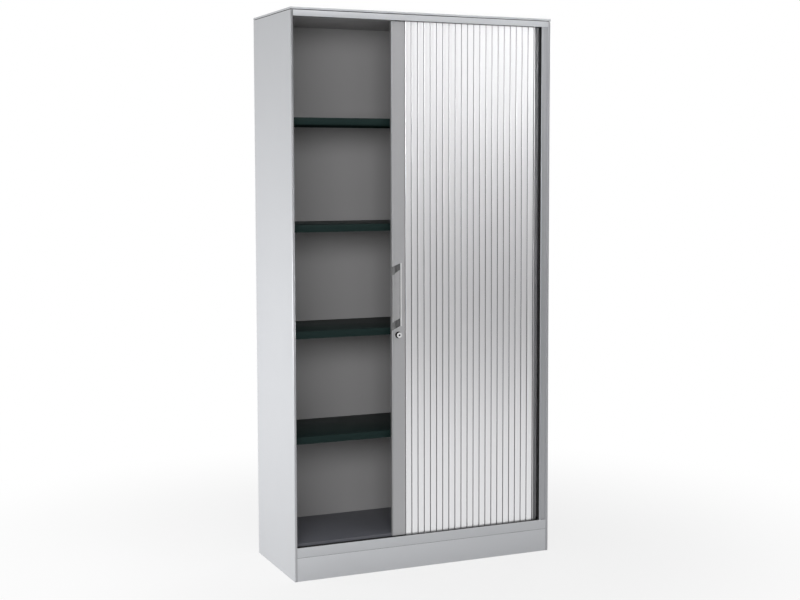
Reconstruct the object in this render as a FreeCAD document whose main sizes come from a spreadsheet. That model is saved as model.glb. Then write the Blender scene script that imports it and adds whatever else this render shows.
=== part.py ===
"""Side-opening roller-shutter cupboard: a steel carcass on a plinth, four lift-off shelves, and one
curtain of upright slats that runs in two tracks across the front, round the right side and behind
the inner rear wall. X is to the right, Y to the back, Z up; the origin is on the floor, in the
middle of the cupboard. All sizes are millimetres."""

import FreeCAD, Part
import math
import os
import Sketcher

doc = FreeCAD.newDocument("roller_shutter_cupboard")
dims = doc.addObject("Spreadsheet::Sheet", "dims")

SIZES = {
    # carcass
    "cab_width": 1000,
    "cab_depth": 420,
    "cab_height": 1980,
    "carcass_sheet": 1,
    "inner_sheet": 0.8,
    "side_return": 9,
    "side_lip": 20,
    "rear_return": 12,
    "face_reveal": 1,
    "flange_width": 12,
    "lid_lip": 7,
    "lid_gap": 2,
    "lid_inset": 4,
    "lid_flange": 12,
    "top_rail_height": 21,
    # base
    "plinth_height": 83,
    "plinth_seam": 0.5,
    "base_rail_height": 35.5,
    "base_sheet": 1.5,
    "base_flange": 34,
    "deck_step": 8,
    "member_width": 58,
    "member_end_gap": 40,
    "member_clear": 30,
    # curtain and its tracks
    "curtain_setback": 15,
    "slat_pitch": 24.5,
    "slat_gap": 0.4,
    "slat_thickness": 7.5,
    "slat_face": 19,
    "slat_bevel": 3,
    "slat_wall": 1.5,
    "slat_leg_draw": 0.85,
    "bend_radius": 46,
    "bend_inset": 72,
    "track_channel": 12,
    "track_wall": 2.5,
    "track_floor": 3,
    "track_seat_gap": 0.3,
    "track_roof_gap": 1.7,
    "rear_track_end": -130,
    "curtain_start": -74.5,
    "curtain_tail": 42,
    # liner, deck and ceiling
    "liner_side_gap": 4.5,
    "liner_rear_gap": 4.75,
    "deck_front_gap": 0.5,
    "deck_corner_gap": 3.5,
    # shelves and the uprights that carry them
    "shelf_count": 4,
    "shelf_pitch": 371,
    "shelf_thickness": 25,
    "shelf_sheet": 0.9,
    "shelf_setback": 50,
    "shelf_gap": 0.5,
    "upright_width": 25,
    "upright_depth": 10,
    "upright_sheet": 1.5,
    "upright_front": 60,
    "upright_rear": 55,
    "slots_per_shelf": 15,
    "slots_below_shelf": 13,
    "slot_width": 12,
    "slot_height": 12,
    "slot_drop": 8,
    "clip_reach": 12,
    "clip_width": 10,
    "clip_height": 16,
    "clip_plate": 2,
    "clip_tongue": 5,
    "clip_hook": 1.25,
    "clip_hook_sheet": 1,
    "clip_play": 0.5,
    # lead rail, its handle and lock
    "rail_width": 52.5,
    "rail_depth": 14,
    "rail_proud": 3,
    "rail_wall": 1.8,
    "rail_end_gap": 2,
    "glide_width": 20,
    "glide_inset": 17,
    "glide_seat": 20,
    "glide_play": 1.2,
    "grip_inset": 0.8,
    "grip_width": 31.2,
    "grip_depth": 12,
    "grip_above_lock": 16,
    "grip_length": 228,
    "grip_low_slant": 14.5,
    "grip_high_slant": 12,
    "grip_wall": 1.5,
    "grip_rib_width": 5.5,
    "grip_rib_proud": 1,
    "low_window_left": 28,
    "low_window_right": 28,
    "high_window_left": 31.5,
    "high_window_right": 24.5,
    "bar_thickness": 3,
    "lock_inset": 24,
    "lock_height": 845.5,
    "lock_proud": 11,
    "lock_hole": 22,
    "lock_barrel": 19,
    "lock_barrel_length": 22,
    "lock_collar": 26,
    "lock_collar_length": 2,
    "lock_nut_length": 3,
    "plug_diameter": 14,
    "plug_play": 0.05,
    "plug_tail": 2,
    "keyhole_width": 2,
    "keyhole_height": 8,
    "keyhole_depth": 6,
    "cam_length": 32,
    "cam_width": 10,
    "cam_eye": 18,
    "cam_sheet": 2,
    "cam_screw_head": 8,
    "cam_screw_length": 2.5,
    # post, strike and buffers
    "post_width": 31,
    "post_bead": 12,
    "post_step": 1.5,
    "post_return": 18,
    "strike_sheet": 1.5,
    "strike_reach": 40,
    "strike_height": 76,
    "strike_slot_depth": 9,
    "strike_slot_low": 32,
    "strike_slot_high": 12,
    "buffer_thickness": 1.8,
    "buffer_height": 40,
    "buffer_width": 10,
    "buffer_low": 400,
    "buffer_high": 1600,
    # levelling feet
    "foot_side_inset": 30,
    "foot_end_inset": 60,
    "pad_diameter": 40,
    "pad_height": 8,
    "spindle_diameter": 10,
    "spindle_top": 72,
    "spindle_hole_play": 0.6,
    "foot_nut_width": 20,
    "foot_nut_height": 9,
    "foot_nut_play": 0.05,
    # fasteners
    "rivet_head": 1.2,
    "rivet_diameter": 7,
    "rivet_count": 7,
    "rivet_margin": 90,
    "lid_screw_head": 8,
    "lid_screw_length": 3,
    "lid_screw_inset": 7,
}

for row, (alias, value) in enumerate(SIZES.items(), start=1):
    dims.set(f"A{row}", alias)
    dims.set(f"B{row}", str(value))
    dims.setAlias(f"B{row}", alias)
doc.recompute()


def number(text):
    """The present value of an expression on the sheet."""
    return float(dims.evalExpression(text))


# ---- places shared by several pieces, as expressions on the sheet ----

LEFT = "-dims.cab_width / 2"
RIGHT = "dims.cab_width / 2"
FRONT = "-dims.cab_depth / 2"
LID_BACK = "dims.cab_depth / 2"
BACK = "(dims.cab_depth / 2 - dims.rivet_head)"
FACE = "(-dims.cab_depth / 2 + dims.face_reveal)"
SHEET = "dims.carcass_sheet"
INNER_LEFT = "(-dims.cab_width / 2 + dims.side_return)"
INNER_RIGHT = "(dims.cab_width / 2 - dims.side_return)"
LID_BOTTOM = "(dims.cab_height - dims.lid_lip)"
SIDE_TOP = "(dims.cab_height - dims.lid_lip - dims.lid_gap)"
TOP_RAIL_LOW = "(dims.cab_height - dims.lid_lip - dims.lid_gap - dims.top_rail_height)"
BASE_SEAT = "(dims.plinth_height + dims.plinth_seam + dims.carcass_sheet)"
BASE_RAIL_TOP = "(dims.plinth_height + dims.plinth_seam + dims.base_rail_height)"
DECK_TOP = f"({BASE_RAIL_TOP} + dims.deck_step)"

CURTAIN_Y = "(-dims.cab_depth / 2 + dims.curtain_setback + dims.slat_thickness / 2)"
BEND_X = "(dims.cab_width / 2 - dims.bend_inset)"
BEND_Y = f"({CURTAIN_Y} + dims.bend_radius)"
CHANNEL_HALF = "(dims.track_channel / 2)"
TRACK_HALF = "(dims.track_channel / 2 + dims.track_wall)"
TRACK_OUTER_Y = f"({CURTAIN_Y} - {TRACK_HALF})"
DECK_FRONT = f"({CURTAIN_Y} + {TRACK_HALF} + dims.deck_front_gap)"
LINER_X = f"({BEND_X} + dims.bend_radius - {TRACK_HALF} - dims.liner_side_gap)"
LINER_Y = f"(-{CURTAIN_Y} - {TRACK_HALF} - dims.liner_rear_gap)"
DECK_CORNER = f"(dims.bend_radius - {TRACK_HALF} - dims.deck_corner_gap)"
LINER_BEVEL = f"({DECK_CORNER} * (2 - sqrt(2)))"
LOWER_FLOOR = f"({BASE_SEAT} + dims.track_floor)"
UPPER_ROOF = f"({SIDE_TOP} - {SHEET} - dims.track_floor)"
SLAT_LOW = f"({LOWER_FLOOR} + dims.track_seat_gap)"
SLAT_HIGH = f"({UPPER_ROOF} - dims.track_roof_gap)"

PAST = 1  # how far a cutting solid runs past the face it opens
MITRE = "(sqrt(2) - 1)"  # what the inside of a 45 degree bend loses of its sheet
CLOSE = 0.01  # two places nearer than this are the same

nodes = []


# ---- ways of making a solid ----


def place(solid, x, y, z):
    for axis, text in zip("xyz", (x, y, z)):
        solid.setExpression(f"Placement.Base.{axis}", text)
    return solid


def turned(solid, axis, degrees):
    solid.Placement.Rotation = FreeCAD.Rotation(axis, degrees)
    return solid


def box(name, x, y, z):
    """A block from the low to the high expression of each axis."""
    solid = doc.addObject("Part::Box", name)
    for size, (low, high) in zip(("Length", "Width", "Height"), (x, y, z)):
        solid.setExpression(size, f"({high}) - ({low})")
    return place(solid, x[0], y[0], z[0])


def upright_rod(name, x, y, z, radius):
    """A round rod along Z, from the low to the high expression."""
    rod = doc.addObject("Part::Cylinder", name)
    rod.setExpression("Radius", radius)
    rod.setExpression("Height", f"({z[1]}) - ({z[0]})")
    return place(rod, x, y, z[0])


def level_rod(name, x, y, z, radius):
    """A round rod along Y, from the low to the high expression."""
    rod = doc.addObject("Part::Cylinder", name)
    rod.setExpression("Radius", radius)
    rod.setExpression("Height", f"({y[1]}) - ({y[0]})")
    turned(rod, FreeCAD.Vector(1, 0, 0), -90)
    return place(rod, x, y[0], z)


def fuse(name, solids):
    whole = doc.addObject("Part::MultiFuse", name)
    whole.Shapes = solids
    whole.Refine = True
    return whole


def group(name, solids):
    """Separate solids that share one node."""
    whole = doc.addObject("Part::Compound", name)
    whole.Links = solids
    return whole


def cut(name, solid, tool):
    rest = doc.addObject("Part::Cut", name)
    rest.Base = solid
    rest.Tool = tool
    rest.Refine = True
    return rest


def polygon_sketch(body, name, plane_role, points):
    """A closed outline on one of the body's origin planes, each corner held by two expressions."""
    plane = next(f for f in body.Origin.OriginFeatures if f.Role == plane_role)
    sketch = body.newObject("Sketcher::SketchObject", name)
    sketch.AttachmentSupport = [(plane, "")]
    sketch.MapMode = "FlatFace"
    corners = [FreeCAD.Vector(number(u), number(v), 0) for u, v in points]
    for corner, following in zip(corners, corners[1:] + corners[:1]):
        sketch.addGeometry(Part.LineSegment(corner, following))
    for line in range(len(corners)):
        joint = Sketcher.Constraint("Coincident", line, 2, (line + 1) % len(corners), 1)
        sketch.addConstraint(joint)
    for line, (corner, texts) in enumerate(zip(corners, points)):
        for kind, value, text in zip(("DistanceX", "DistanceY"), corner, texts):
            held = sketch.addConstraint(Sketcher.Constraint(kind, -1, 1, line, 1, value))
            sketch.setExpression(f"Constraints[{held}]", text)
    return sketch


def prism(name, plane_role, points, length, backwards=False):
    """A body padded from a closed outline. On XZ_Plane the pad grows to +Y."""
    body = doc.addObject("PartDesign::Body", name)
    sketch = polygon_sketch(body, f"{name}_outline", plane_role, points)
    pad = body.newObject("PartDesign::Pad", f"{name}_pad")
    pad.Profile = sketch
    pad.setExpression("Length", length)
    pad.Reversed = backwards
    return body


def node(label, solid):
    """Registers a finished piece: its label is its node's name."""
    solid.Label = label
    nodes.append(solid)
    return solid


def inward(side, near, far):
    """A stretch of X measured inward from the outer face of the left or right side."""
    if side == "left":
        return (f"{LEFT} + {near}", f"{LEFT} + {far}")
    return (f"{RIGHT} - ({far})", f"{RIGHT} - ({near})")


# ---- side panels: outer skin, folded front return with its lip, rear return and top flange ----

for side in ("left", "right"):
    name = f"{side}_side"
    skin = box(f"{name}_skin", inward(side, "0", SHEET), (FRONT, BACK), ("0", SIDE_TOP))
    front_return = box(
        f"{name}_front_return",
        inward(side, "0", "dims.side_return"),
        (FRONT, f"{FRONT} + {SHEET}"),
        ("0", SIDE_TOP),
    )
    lip = box(
        f"{name}_lip",
        inward(side, f"dims.side_return - {SHEET}", "dims.side_return"),
        (FRONT, f"{FRONT} + dims.side_lip"),
        ("0", SIDE_TOP),
    )
    rear_return = box(
        f"{name}_rear_return",
        inward(side, "0", "dims.rear_return"),
        (f"{BACK} - {SHEET}", BACK),
        ("0", SIDE_TOP),
    )
    flange = box(
        f"{name}_top_flange",
        inward(side, "0", "dims.flange_width"),
        (f"{FRONT} + dims.side_lip", f"{BACK} - 2 * {SHEET}"),
        (f"{SIDE_TOP} - {SHEET}", SIDE_TOP),
    )
    node(f"{side}_side_panel", fuse(name, [skin, front_return, lip, rear_return, flange]))

# ---- rear panel: a flat sheet inside the side panels' rear returns, with a top flange ----

rear_sheet = box(
    "rear_sheet",
    (f"{LEFT} + {SHEET}", f"{RIGHT} - {SHEET}"),
    (f"{BACK} - 2 * {SHEET}", f"{BACK} - {SHEET}"),
    ("0", SIDE_TOP),
)
rear_flange = box(
    "rear_top_flange",
    (f"{LEFT} + dims.flange_width", f"{RIGHT} - dims.flange_width"),
    (f"{BACK} - 2 * {SHEET} - dims.flange_width", f"{BACK} - 2 * {SHEET}"),
    (f"{SIDE_TOP} - {SHEET}", SIDE_TOP),
)
node("rear_panel", fuse("rear", [rear_sheet, rear_flange]))

# ---- top panel: a folded lid whose neck stands in, which leaves a shadow gap over the sides ----


def lid_block(name, inset, low, high):
    """A block inside the lid's outline, set in by the same amount on all four sides."""
    return box(
        name,
        (f"{LEFT} + {inset}", f"{RIGHT} - ({inset})"),
        (f"{FRONT} + {inset}", f"{LID_BACK} - ({inset})"),
        (low, high),
    )


lid_outer = fuse(
    "lid_outer",
    [
        lid_block("lid_tray", "0", LID_BOTTOM, "dims.cab_height"),
        lid_block("lid_neck", "dims.lid_inset", SIDE_TOP, f"{LID_BOTTOM} + {SHEET}"),
    ],
)
neck_inside = f"dims.lid_inset + {SHEET}"
lid_hollow = fuse(
    "lid_hollow",
    [
        lid_block("lid_inside", SHEET, f"{LID_BOTTOM} + {SHEET}", f"dims.cab_height - {SHEET}"),
        lid_block("neck_inside", neck_inside, f"{SIDE_TOP} + {SHEET}", f"{LID_BOTTOM} + 2 * {SHEET}"),
        lid_block(
            "flange_inside",
            "dims.lid_inset + dims.lid_flange",
            f"{SIDE_TOP} - {SHEET}",
            f"{LID_BOTTOM} + 2 * {SHEET}",
        ),
    ],
)
node("top_panel", cut("lid", lid_outer, lid_hollow))

# ---- top front rail: the band over the curtain, a channel open to the back ----

between_sides = (INNER_LEFT, INNER_RIGHT)
node(
    "top_front_rail",
    fuse(
        "top_rail",
        [
            box("top_rail_face", between_sides, (FACE, f"{FACE} + {SHEET}"), (TOP_RAIL_LOW, SIDE_TOP)),
            box(
                "top_rail_lower_flange",
                between_sides,
                (FACE, TRACK_OUTER_Y),
                (TOP_RAIL_LOW, f"{TOP_RAIL_LOW} + {SHEET}"),
            ),
            box(
                "top_rail_upper_flange",
                between_sides,
                (FACE, f"{FRONT} + dims.side_lip"),
                (f"{SIDE_TOP} - {SHEET}", SIDE_TOP),
            ),
        ],
    ),
)

# ---- bottom front rail: the band under the curtain; its lower flange seats the track and deck ----

BASE_RAIL_LOW = "(dims.plinth_height + dims.plinth_seam)"
node(
    "bottom_front_rail",
    fuse(
        "base_rail",
        [
            box(
                "base_rail_face",
                between_sides,
                (FACE, f"{FACE} + {SHEET}"),
                (BASE_RAIL_LOW, BASE_RAIL_TOP),
            ),
            box(
                "base_rail_upper_flange",
                between_sides,
                (FACE, TRACK_OUTER_Y),
                (f"{BASE_RAIL_TOP} - {SHEET}", BASE_RAIL_TOP),
            ),
            box(
                "base_rail_lower_flange",
                between_sides,
                (FACE, f"{FACE} + dims.base_flange"),
                (BASE_RAIL_LOW, BASE_SEAT),
            ),
        ],
    ),
)

# ---- plinth: a front channel between the sides, a rear channel and two side members ----

node(
    "plinth_front",
    fuse(
        "plinth_front_channel",
        [
            box(
                "plinth_face",
                between_sides,
                (FACE, f"{FACE} + dims.base_sheet"),
                ("0", "dims.plinth_height"),
            ),
            box(
                "plinth_upper_flange",
                between_sides,
                (FACE, f"{FACE} + dims.base_flange"),
                ("dims.plinth_height - dims.base_sheet", "dims.plinth_height"),
            ),
            box(
                "plinth_lower_flange",
                between_sides,
                (FACE, f"{FACE} + dims.side_lip"),
                ("0", "dims.base_sheet"),
            ),
        ],
    ),
)

REAR_INSIDE = f"({BACK} - 2 * {SHEET})"
node(
    "plinth_rear",
    fuse(
        "plinth_rear_channel",
        [
            box(
                "plinth_rear_web",
                (f"{LEFT} + {SHEET}", f"{RIGHT} - {SHEET}"),
                (f"{REAR_INSIDE} - dims.base_sheet", REAR_INSIDE),
                ("0", BASE_SEAT),
            ),
            box(
                "plinth_rear_flange",
                (f"{LEFT} + {SHEET}", f"{RIGHT} - {SHEET}"),
                (f"{REAR_INSIDE} - dims.base_flange", REAR_INSIDE),
                (f"{BASE_SEAT} - dims.base_sheet", BASE_SEAT),
            ),
        ],
    ),
)

FOOT_X = "(dims.cab_width / 2 - dims.foot_side_inset)"
FOOT_Y = "(dims.cab_depth / 2 - dims.foot_end_inset)"
member_span = (f"{FRONT} + dims.member_end_gap", f"{LID_BACK} - dims.member_end_gap")
for side, sign in (("left", "-"), ("right", "")):
    across = inward(side, SHEET, "dims.member_width")
    web_across = inward(side, SHEET, f"{SHEET} + dims.base_sheet")
    member = fuse(
        f"{side}_member_folds",
        [
            box(f"{side}_member_web", web_across, member_span, ("dims.member_clear", BASE_SEAT)),
            box(f"{side}_member_top", across, member_span, (f"{BASE_SEAT} - dims.base_sheet", BASE_SEAT)),
            box(
                f"{side}_member_bottom",
                across,
                member_span,
                ("dims.member_clear", "dims.member_clear + dims.base_sheet"),
            ),
        ],
    )
    holes = group(
        f"{side}_member_holes",
        [
            upright_rod(
                f"{side}_member_hole_{end}",
                f"{sign}{FOOT_X}",
                f"{end_sign}{FOOT_Y}",
                (f"dims.member_clear - {PAST}", f"dims.member_clear + dims.base_sheet + {PAST}"),
                "dims.spindle_diameter / 2 + dims.spindle_hole_play",
            )
            for end, end_sign in (("front", "-"), ("rear", ""))
        ],
    )
    node(f"base_member_{side}", cut(f"{side}_member", member, holes))

# ---- levelling feet: a welded nut in the base member, a threaded spindle and its pad ----

foot_nuts = []
for end, end_sign in (("front", "-"), ("rear", "")):
    for side, sign in (("left", "-"), ("right", "")):
        name = f"foot_{end}_{side}"
        x, y = f"{sign}{FOOT_X}", f"{end_sign}{FOOT_Y}"
        node(
            f"{name}_pad",
            fuse(
                f"{name}_pad_solid",
                [
                    upright_rod(
                        f"{name}_pad_disc",
                        x,
                        y,
                        ("0", "dims.pad_height / 2"),
                        "dims.pad_diameter / 2",
                    ),
                    upright_rod(
                        f"{name}_pad_boss",
                        x,
                        y,
                        ("dims.pad_height / 2", "dims.pad_height"),
                        "dims.pad_diameter / 4",
                    ),
                ],
            ),
        )
        node(
            f"{name}_spindle",
            upright_rod(
                f"{name}_rod", x, y, ("dims.pad_height", "dims.spindle_top"), "dims.spindle_diameter / 2"
            ),
        )
        seat = "dims.member_clear + dims.base_sheet"
        half = "dims.foot_nut_width / 2"
        block = box(
            f"{name}_nut_block",
            (f"{x} - {half}", f"{x} + {half}"),
            (f"{y} - {half}", f"{y} + {half}"),
            (seat, f"{seat} + dims.foot_nut_height"),
        )
        bore = upright_rod(
            f"{name}_nut_bore",
            x,
            y,
            (f"{seat} - {PAST}", f"{seat} + dims.foot_nut_height + {PAST}"),
            "dims.spindle_diameter / 2 + dims.foot_nut_play",
        )
        foot_nuts.append(cut(f"{name}_nut", block, bore))
node("foot_nuts", group("foot_nut_group", foot_nuts))

# ---- tracks: two channels of one plan, along the front, round the right side and to the rear ----


def track_band(name, half, low, high, start, finish):
    """The curtain's path as a solid strip: front run, bend, side run, bend and rear run."""
    outer = f"(dims.bend_radius + {half})"
    inner = f"(dims.bend_radius - {half})"
    pieces = [
        box(
            f"{name}_front",
            (start, BEND_X),
            (f"{CURTAIN_Y} - {half}", f"{CURTAIN_Y} + {half}"),
            (low, high),
        ),
        box(
            f"{name}_side",
            (f"{BEND_X} + {inner}", f"{BEND_X} + {outer}"),
            (BEND_Y, f"-{BEND_Y}"),
            (low, high),
        ),
        box(
            f"{name}_rear",
            (finish, BEND_X),
            (f"-{CURTAIN_Y} - {half}", f"-{CURTAIN_Y} + {half}"),
            (low, high),
        ),
    ]
    for corner, y, angle in (("front", BEND_Y, -90), ("rear", f"-{BEND_Y}", 0)):
        quarter = []
        for part, radius in (("outer", outer), ("inner", inner)):
            disc = upright_rod(f"{name}_{corner}_{part}", BEND_X, y, (low, high), radius)
            disc.Angle = 90
            turned(disc, FreeCAD.Vector(0, 0, 1), angle)
            quarter.append(disc)
        pieces.append(cut(f"{name}_{corner}_bend", *quarter))
    return fuse(name, pieces)


node(
    "lower_track",
    cut(
        "lower_track_channel",
        track_band(
            "lower_track_body",
            TRACK_HALF,
            BASE_SEAT,
            f"{BASE_RAIL_TOP} - {SHEET}",
            INNER_LEFT,
            "dims.rear_track_end",
        ),
        track_band(
            "lower_track_groove",
            CHANNEL_HALF,
            LOWER_FLOOR,
            BASE_RAIL_TOP,
            f"{INNER_LEFT} - {PAST}",
            f"dims.rear_track_end - {PAST}",
        ),
    ),
)
node(
    "upper_track",
    cut(
        "upper_track_channel",
        track_band(
            "upper_track_body",
            TRACK_HALF,
            f"{TOP_RAIL_LOW} + {SHEET}",
            f"{SIDE_TOP} - {SHEET}",
            INNER_LEFT,
            "dims.rear_track_end",
        ),
        track_band(
            "upper_track_groove",
            CHANNEL_HALF,
            TOP_RAIL_LOW,
            UPPER_ROOF,
            f"{INNER_LEFT} - {PAST}",
            f"dims.rear_track_end - {PAST}",
        ),
    ),
)

# ---- deck, ceiling and shelves: folded trays ----


def tray(name, x, y, z, sheet, corner, rounded, open_up):
    """A tray of thin sheet, open below or above, with some of its upright corners rounded.
    rounded lists corners as (right, rear) pairs of 0 or 1."""
    body = doc.addObject("PartDesign::Body", name)
    length, width = f"({x[1]}) - ({x[0]})", f"({y[1]}) - ({y[0]})"
    points = [("0", "0"), (length, "0"), (length, width), ("0", width)]
    sketch = polygon_sketch(body, f"{name}_plan", "XY_Plane", points)
    pad = body.newObject("PartDesign::Pad", f"{name}_pad")
    pad.Profile = sketch
    pad.setExpression("Length", f"({z[1]}) - ({z[0]})")
    doc.recompute()
    wanted = {(right * number(length), rear * number(width)) for right, rear in rounded}
    names = []
    for index, edge in enumerate(pad.Shape.Edges, start=1):
        spot = edge.CenterOfMass
        is_upright = edge.BoundBox.ZLength > edge.BoundBox.DiagonalLength / 2
        at_corner = any(math.hypot(spot.x - u, spot.y - v) < CLOSE for u, v in wanted)
        if is_upright and at_corner:
            names.append(f"Edge{index}")
    fillet = body.newObject("PartDesign::Fillet", f"{name}_corners")
    fillet.Base = (pad, names)
    fillet.setExpression("Radius", corner)
    doc.recompute()
    height = {
        f"Face{index}": face.CenterOfMass.z
        for index, face in enumerate(fillet.Shape.Faces, start=1)
        if face.BoundBox.ZLength < CLOSE
    }
    mouth = max(height, key=height.get) if open_up else min(height, key=height.get)
    shell = body.newObject("PartDesign::Thickness", f"{name}_shell")
    shell.Base = (fillet, [mouth])
    shell.Reversed = True
    shell.setExpression("Value", sheet)
    return place(body, x[0], y[0], z[0])


RIGHT_CORNERS = [(1, 0), (1, 1)]
room_x = (f"{LEFT} + {SHEET}", LINER_X)
room_y = (DECK_FRONT, LINER_Y)
node(
    "floor_panel",
    tray("deck", room_x, room_y, (BASE_SEAT, DECK_TOP), SHEET, DECK_CORNER, RIGHT_CORNERS, False),
)
node(
    "ceiling_panel",
    tray(
        "ceiling",
        room_x,
        room_y,
        (TOP_RAIL_LOW, f"{SIDE_TOP} - {SHEET}"),
        SHEET,
        DECK_CORNER,
        RIGHT_CORNERS,
        True,
    ),
)

# ---- liner: the walls that hide the curtain's side and rear runs from the shelves ----

SHELF_FRONT = f"({FRONT} + dims.shelf_setback)"
LINER = "dims.inner_sheet"
node(
    "inner_side_wall",
    box(
        "side_liner",
        (f"{LINER_X} - {LINER}", LINER_X),
        (SHELF_FRONT, f"{LINER_Y} - {LINER_BEVEL}"),
        (DECK_TOP, TOP_RAIL_LOW),
    ),
)
bend_in = f"{LINER} * {MITRE}"
rear_liner = prism(
    "rear_liner",
    "XY_Plane",
    [
        (f"{LEFT} + {SHEET}", f"{LINER_Y} - {LINER}"),
        (f"{LINER_X} - {LINER_BEVEL} - {bend_in}", f"{LINER_Y} - {LINER}"),
        (f"{LINER_X} - {LINER}", f"{LINER_Y} - {LINER_BEVEL} - {bend_in}"),
        (f"{LINER_X} - {LINER}", f"{LINER_Y} - {LINER_BEVEL}"),
        (LINER_X, f"{LINER_Y} - {LINER_BEVEL}"),
        (f"{LINER_X} - {LINER_BEVEL}", LINER_Y),
        (f"{LEFT} + {SHEET}", LINER_Y),
    ],
    f"{TOP_RAIL_LOW} - {DECK_TOP}",
)
node("inner_rear_wall", place(rear_liner, "0", "0", DECK_TOP))

# ---- uprights: slotted channels, two on the left side panel and two on the inner side wall ----

UPRIGHT_LENGTH = f"({TOP_RAIL_LOW} - {DECK_TOP})"
SLOT_PITCH = "(dims.shelf_pitch / dims.slots_per_shelf)"
FIRST_SLOT = (
    "(dims.shelf_pitch - dims.shelf_thickness - dims.slot_drop"
    f" - dims.slots_below_shelf * {SLOT_PITCH})"
)
SLOT_STEPS = f"floor(({UPRIGHT_LENGTH} - {FIRST_SLOT} - dims.slot_height) / {SLOT_PITCH})"


def upright(name, side, y):
    """A channel open to its wall, its slotted web facing the shelves. Made facing +X."""
    body = doc.addObject("PartDesign::Body", name)
    half, web = "dims.upright_width / 2", "dims.upright_depth - dims.upright_sheet"
    wall = "dims.upright_sheet"
    section = [
        ("0", f"-{half}"),
        ("dims.upright_depth", f"-{half}"),
        ("dims.upright_depth", half),
        ("0", half),
        ("0", f"{half} - {wall}"),
        (web, f"{half} - {wall}"),
        (web, f"-{half} + {wall}"),
        ("0", f"-{half} + {wall}"),
    ]
    outline = polygon_sketch(body, f"{name}_section", "XY_Plane", section)
    pad = body.newObject("PartDesign::Pad", f"{name}_pad")
    pad.Profile = outline
    pad.setExpression("Length", UPRIGHT_LENGTH)
    low = f"{FIRST_SLOT} - dims.slot_height / 2"
    high = f"{FIRST_SLOT} + dims.slot_height / 2"
    slot = polygon_sketch(
        body,
        f"{name}_slot",
        "YZ_Plane",
        [
            ("-dims.slot_width / 2", low),
            ("dims.slot_width / 2", low),
            ("dims.slot_width / 2", high),
            ("-dims.slot_width / 2", high),
        ],
    )
    pocket = body.newObject("PartDesign::Pocket", f"{name}_pocket")
    pocket.Profile = slot
    pocket.Type = "ThroughAll"
    pocket.Midplane = True
    doc.recompute()
    row = body.newObject("PartDesign::LinearPattern", f"{name}_slots")
    row.Originals = [pocket]
    row.Direction = (slot, ["V_Axis"])
    row.setExpression("Occurrences", f"{SLOT_STEPS} + 1")
    row.setExpression("Length", f"{SLOT_PITCH} * {SLOT_STEPS}")
    body.Tip = row
    if side == "right":
        turned(body, FreeCAD.Vector(0, 0, 1), 180)
    foot = f"{LEFT} + {SHEET}" if side == "left" else f"{LINER_X} - {LINER}"
    return place(body, foot, y, DECK_TOP)


UPRIGHT_Y = {
    "front": f"({FRONT} + dims.upright_front + dims.upright_width / 2)",
    "rear": "(dims.cab_depth / 2 - dims.upright_rear - dims.upright_width / 2)",
}
for end, y in UPRIGHT_Y.items():
    for side in ("left", "right"):
        node(f"upright_{end}_{side}", upright(f"upright_{end}_{side}_body", side, y))

# ---- shelves, each on four clips hooked into the uprights ----

WEB_LEFT = f"({LEFT} + {SHEET} + dims.upright_depth)"
WEB_RIGHT = f"({LINER_X} - {LINER} - dims.upright_depth)"
REAR_CORNERS = [(0, 1), (1, 1)]
SHELF_CORNER = (
    f"((({LINER_BEVEL} - dims.upright_depth - 2 * {LINER} - 2 * dims.shelf_gap) / sqrt(2)"
    f" + {LINER} + dims.shelf_gap) / (sqrt(2) - 1))"
)


def shelf_clip(name, x, y, z, side):
    """An angle under the shelf with a hooked tongue through one slot. Made facing +X, top at z = 0."""
    reach = "-(dims.upright_sheet + dims.clip_play)"
    hook_back = f"{reach} - dims.clip_hook_sheet"
    tongue_high = "-(dims.slot_drop - dims.clip_tongue / 2)"
    tongue_low = "-(dims.slot_drop + dims.clip_tongue / 2)"
    hook_low = f"{tongue_low} - dims.clip_hook"
    section = [
        ("0", "0"),
        ("dims.clip_reach", "0"),
        ("dims.clip_reach", "-dims.clip_plate"),
        ("dims.clip_plate", "-dims.clip_plate"),
        ("dims.clip_plate", "-dims.clip_height"),
        ("0", "-dims.clip_height"),
        ("0", tongue_low),
        (reach, tongue_low),
        (reach, hook_low),
        (hook_back, hook_low),
        (hook_back, tongue_high),
        ("0", tongue_high),
    ]
    clip = prism(name, "XZ_Plane", section, "dims.clip_width", backwards=True)
    if side == "right":
        turned(clip, FreeCAD.Vector(0, 0, 1), 180)
        return place(clip, x, f"{y} + dims.clip_width / 2", z)
    return place(clip, x, f"{y} - dims.clip_width / 2", z)


for shelf in range(1, int(number("dims.shelf_count")) + 1):
    top = f"({DECK_TOP} + {shelf} * dims.shelf_pitch)"
    under = f"({top} - dims.shelf_thickness)"
    node(
        f"shelf_{shelf}",
        tray(
            f"shelf_{shelf}_body",
            (f"{WEB_LEFT} + dims.shelf_gap", f"{WEB_RIGHT} - dims.shelf_gap"),
            (SHELF_FRONT, f"{LINER_Y} - {LINER} - dims.shelf_gap"),
            (under, top),
            "dims.shelf_sheet",
            SHELF_CORNER,
            REAR_CORNERS,
            False,
        ),
    )
    clips = [
        shelf_clip(
            f"clip_{shelf}_{end}_{side}", WEB_LEFT if side == "left" else WEB_RIGHT, y, under, side
        )
        for end, y in UPRIGHT_Y.items()
        for side in ("left", "right")
    ]
    node(f"shelf_clips_{shelf}", group(f"clips_{shelf}", clips))

# ---- right front post: a folded strip with a raised bead, beside the curtain's bend ----

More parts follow.
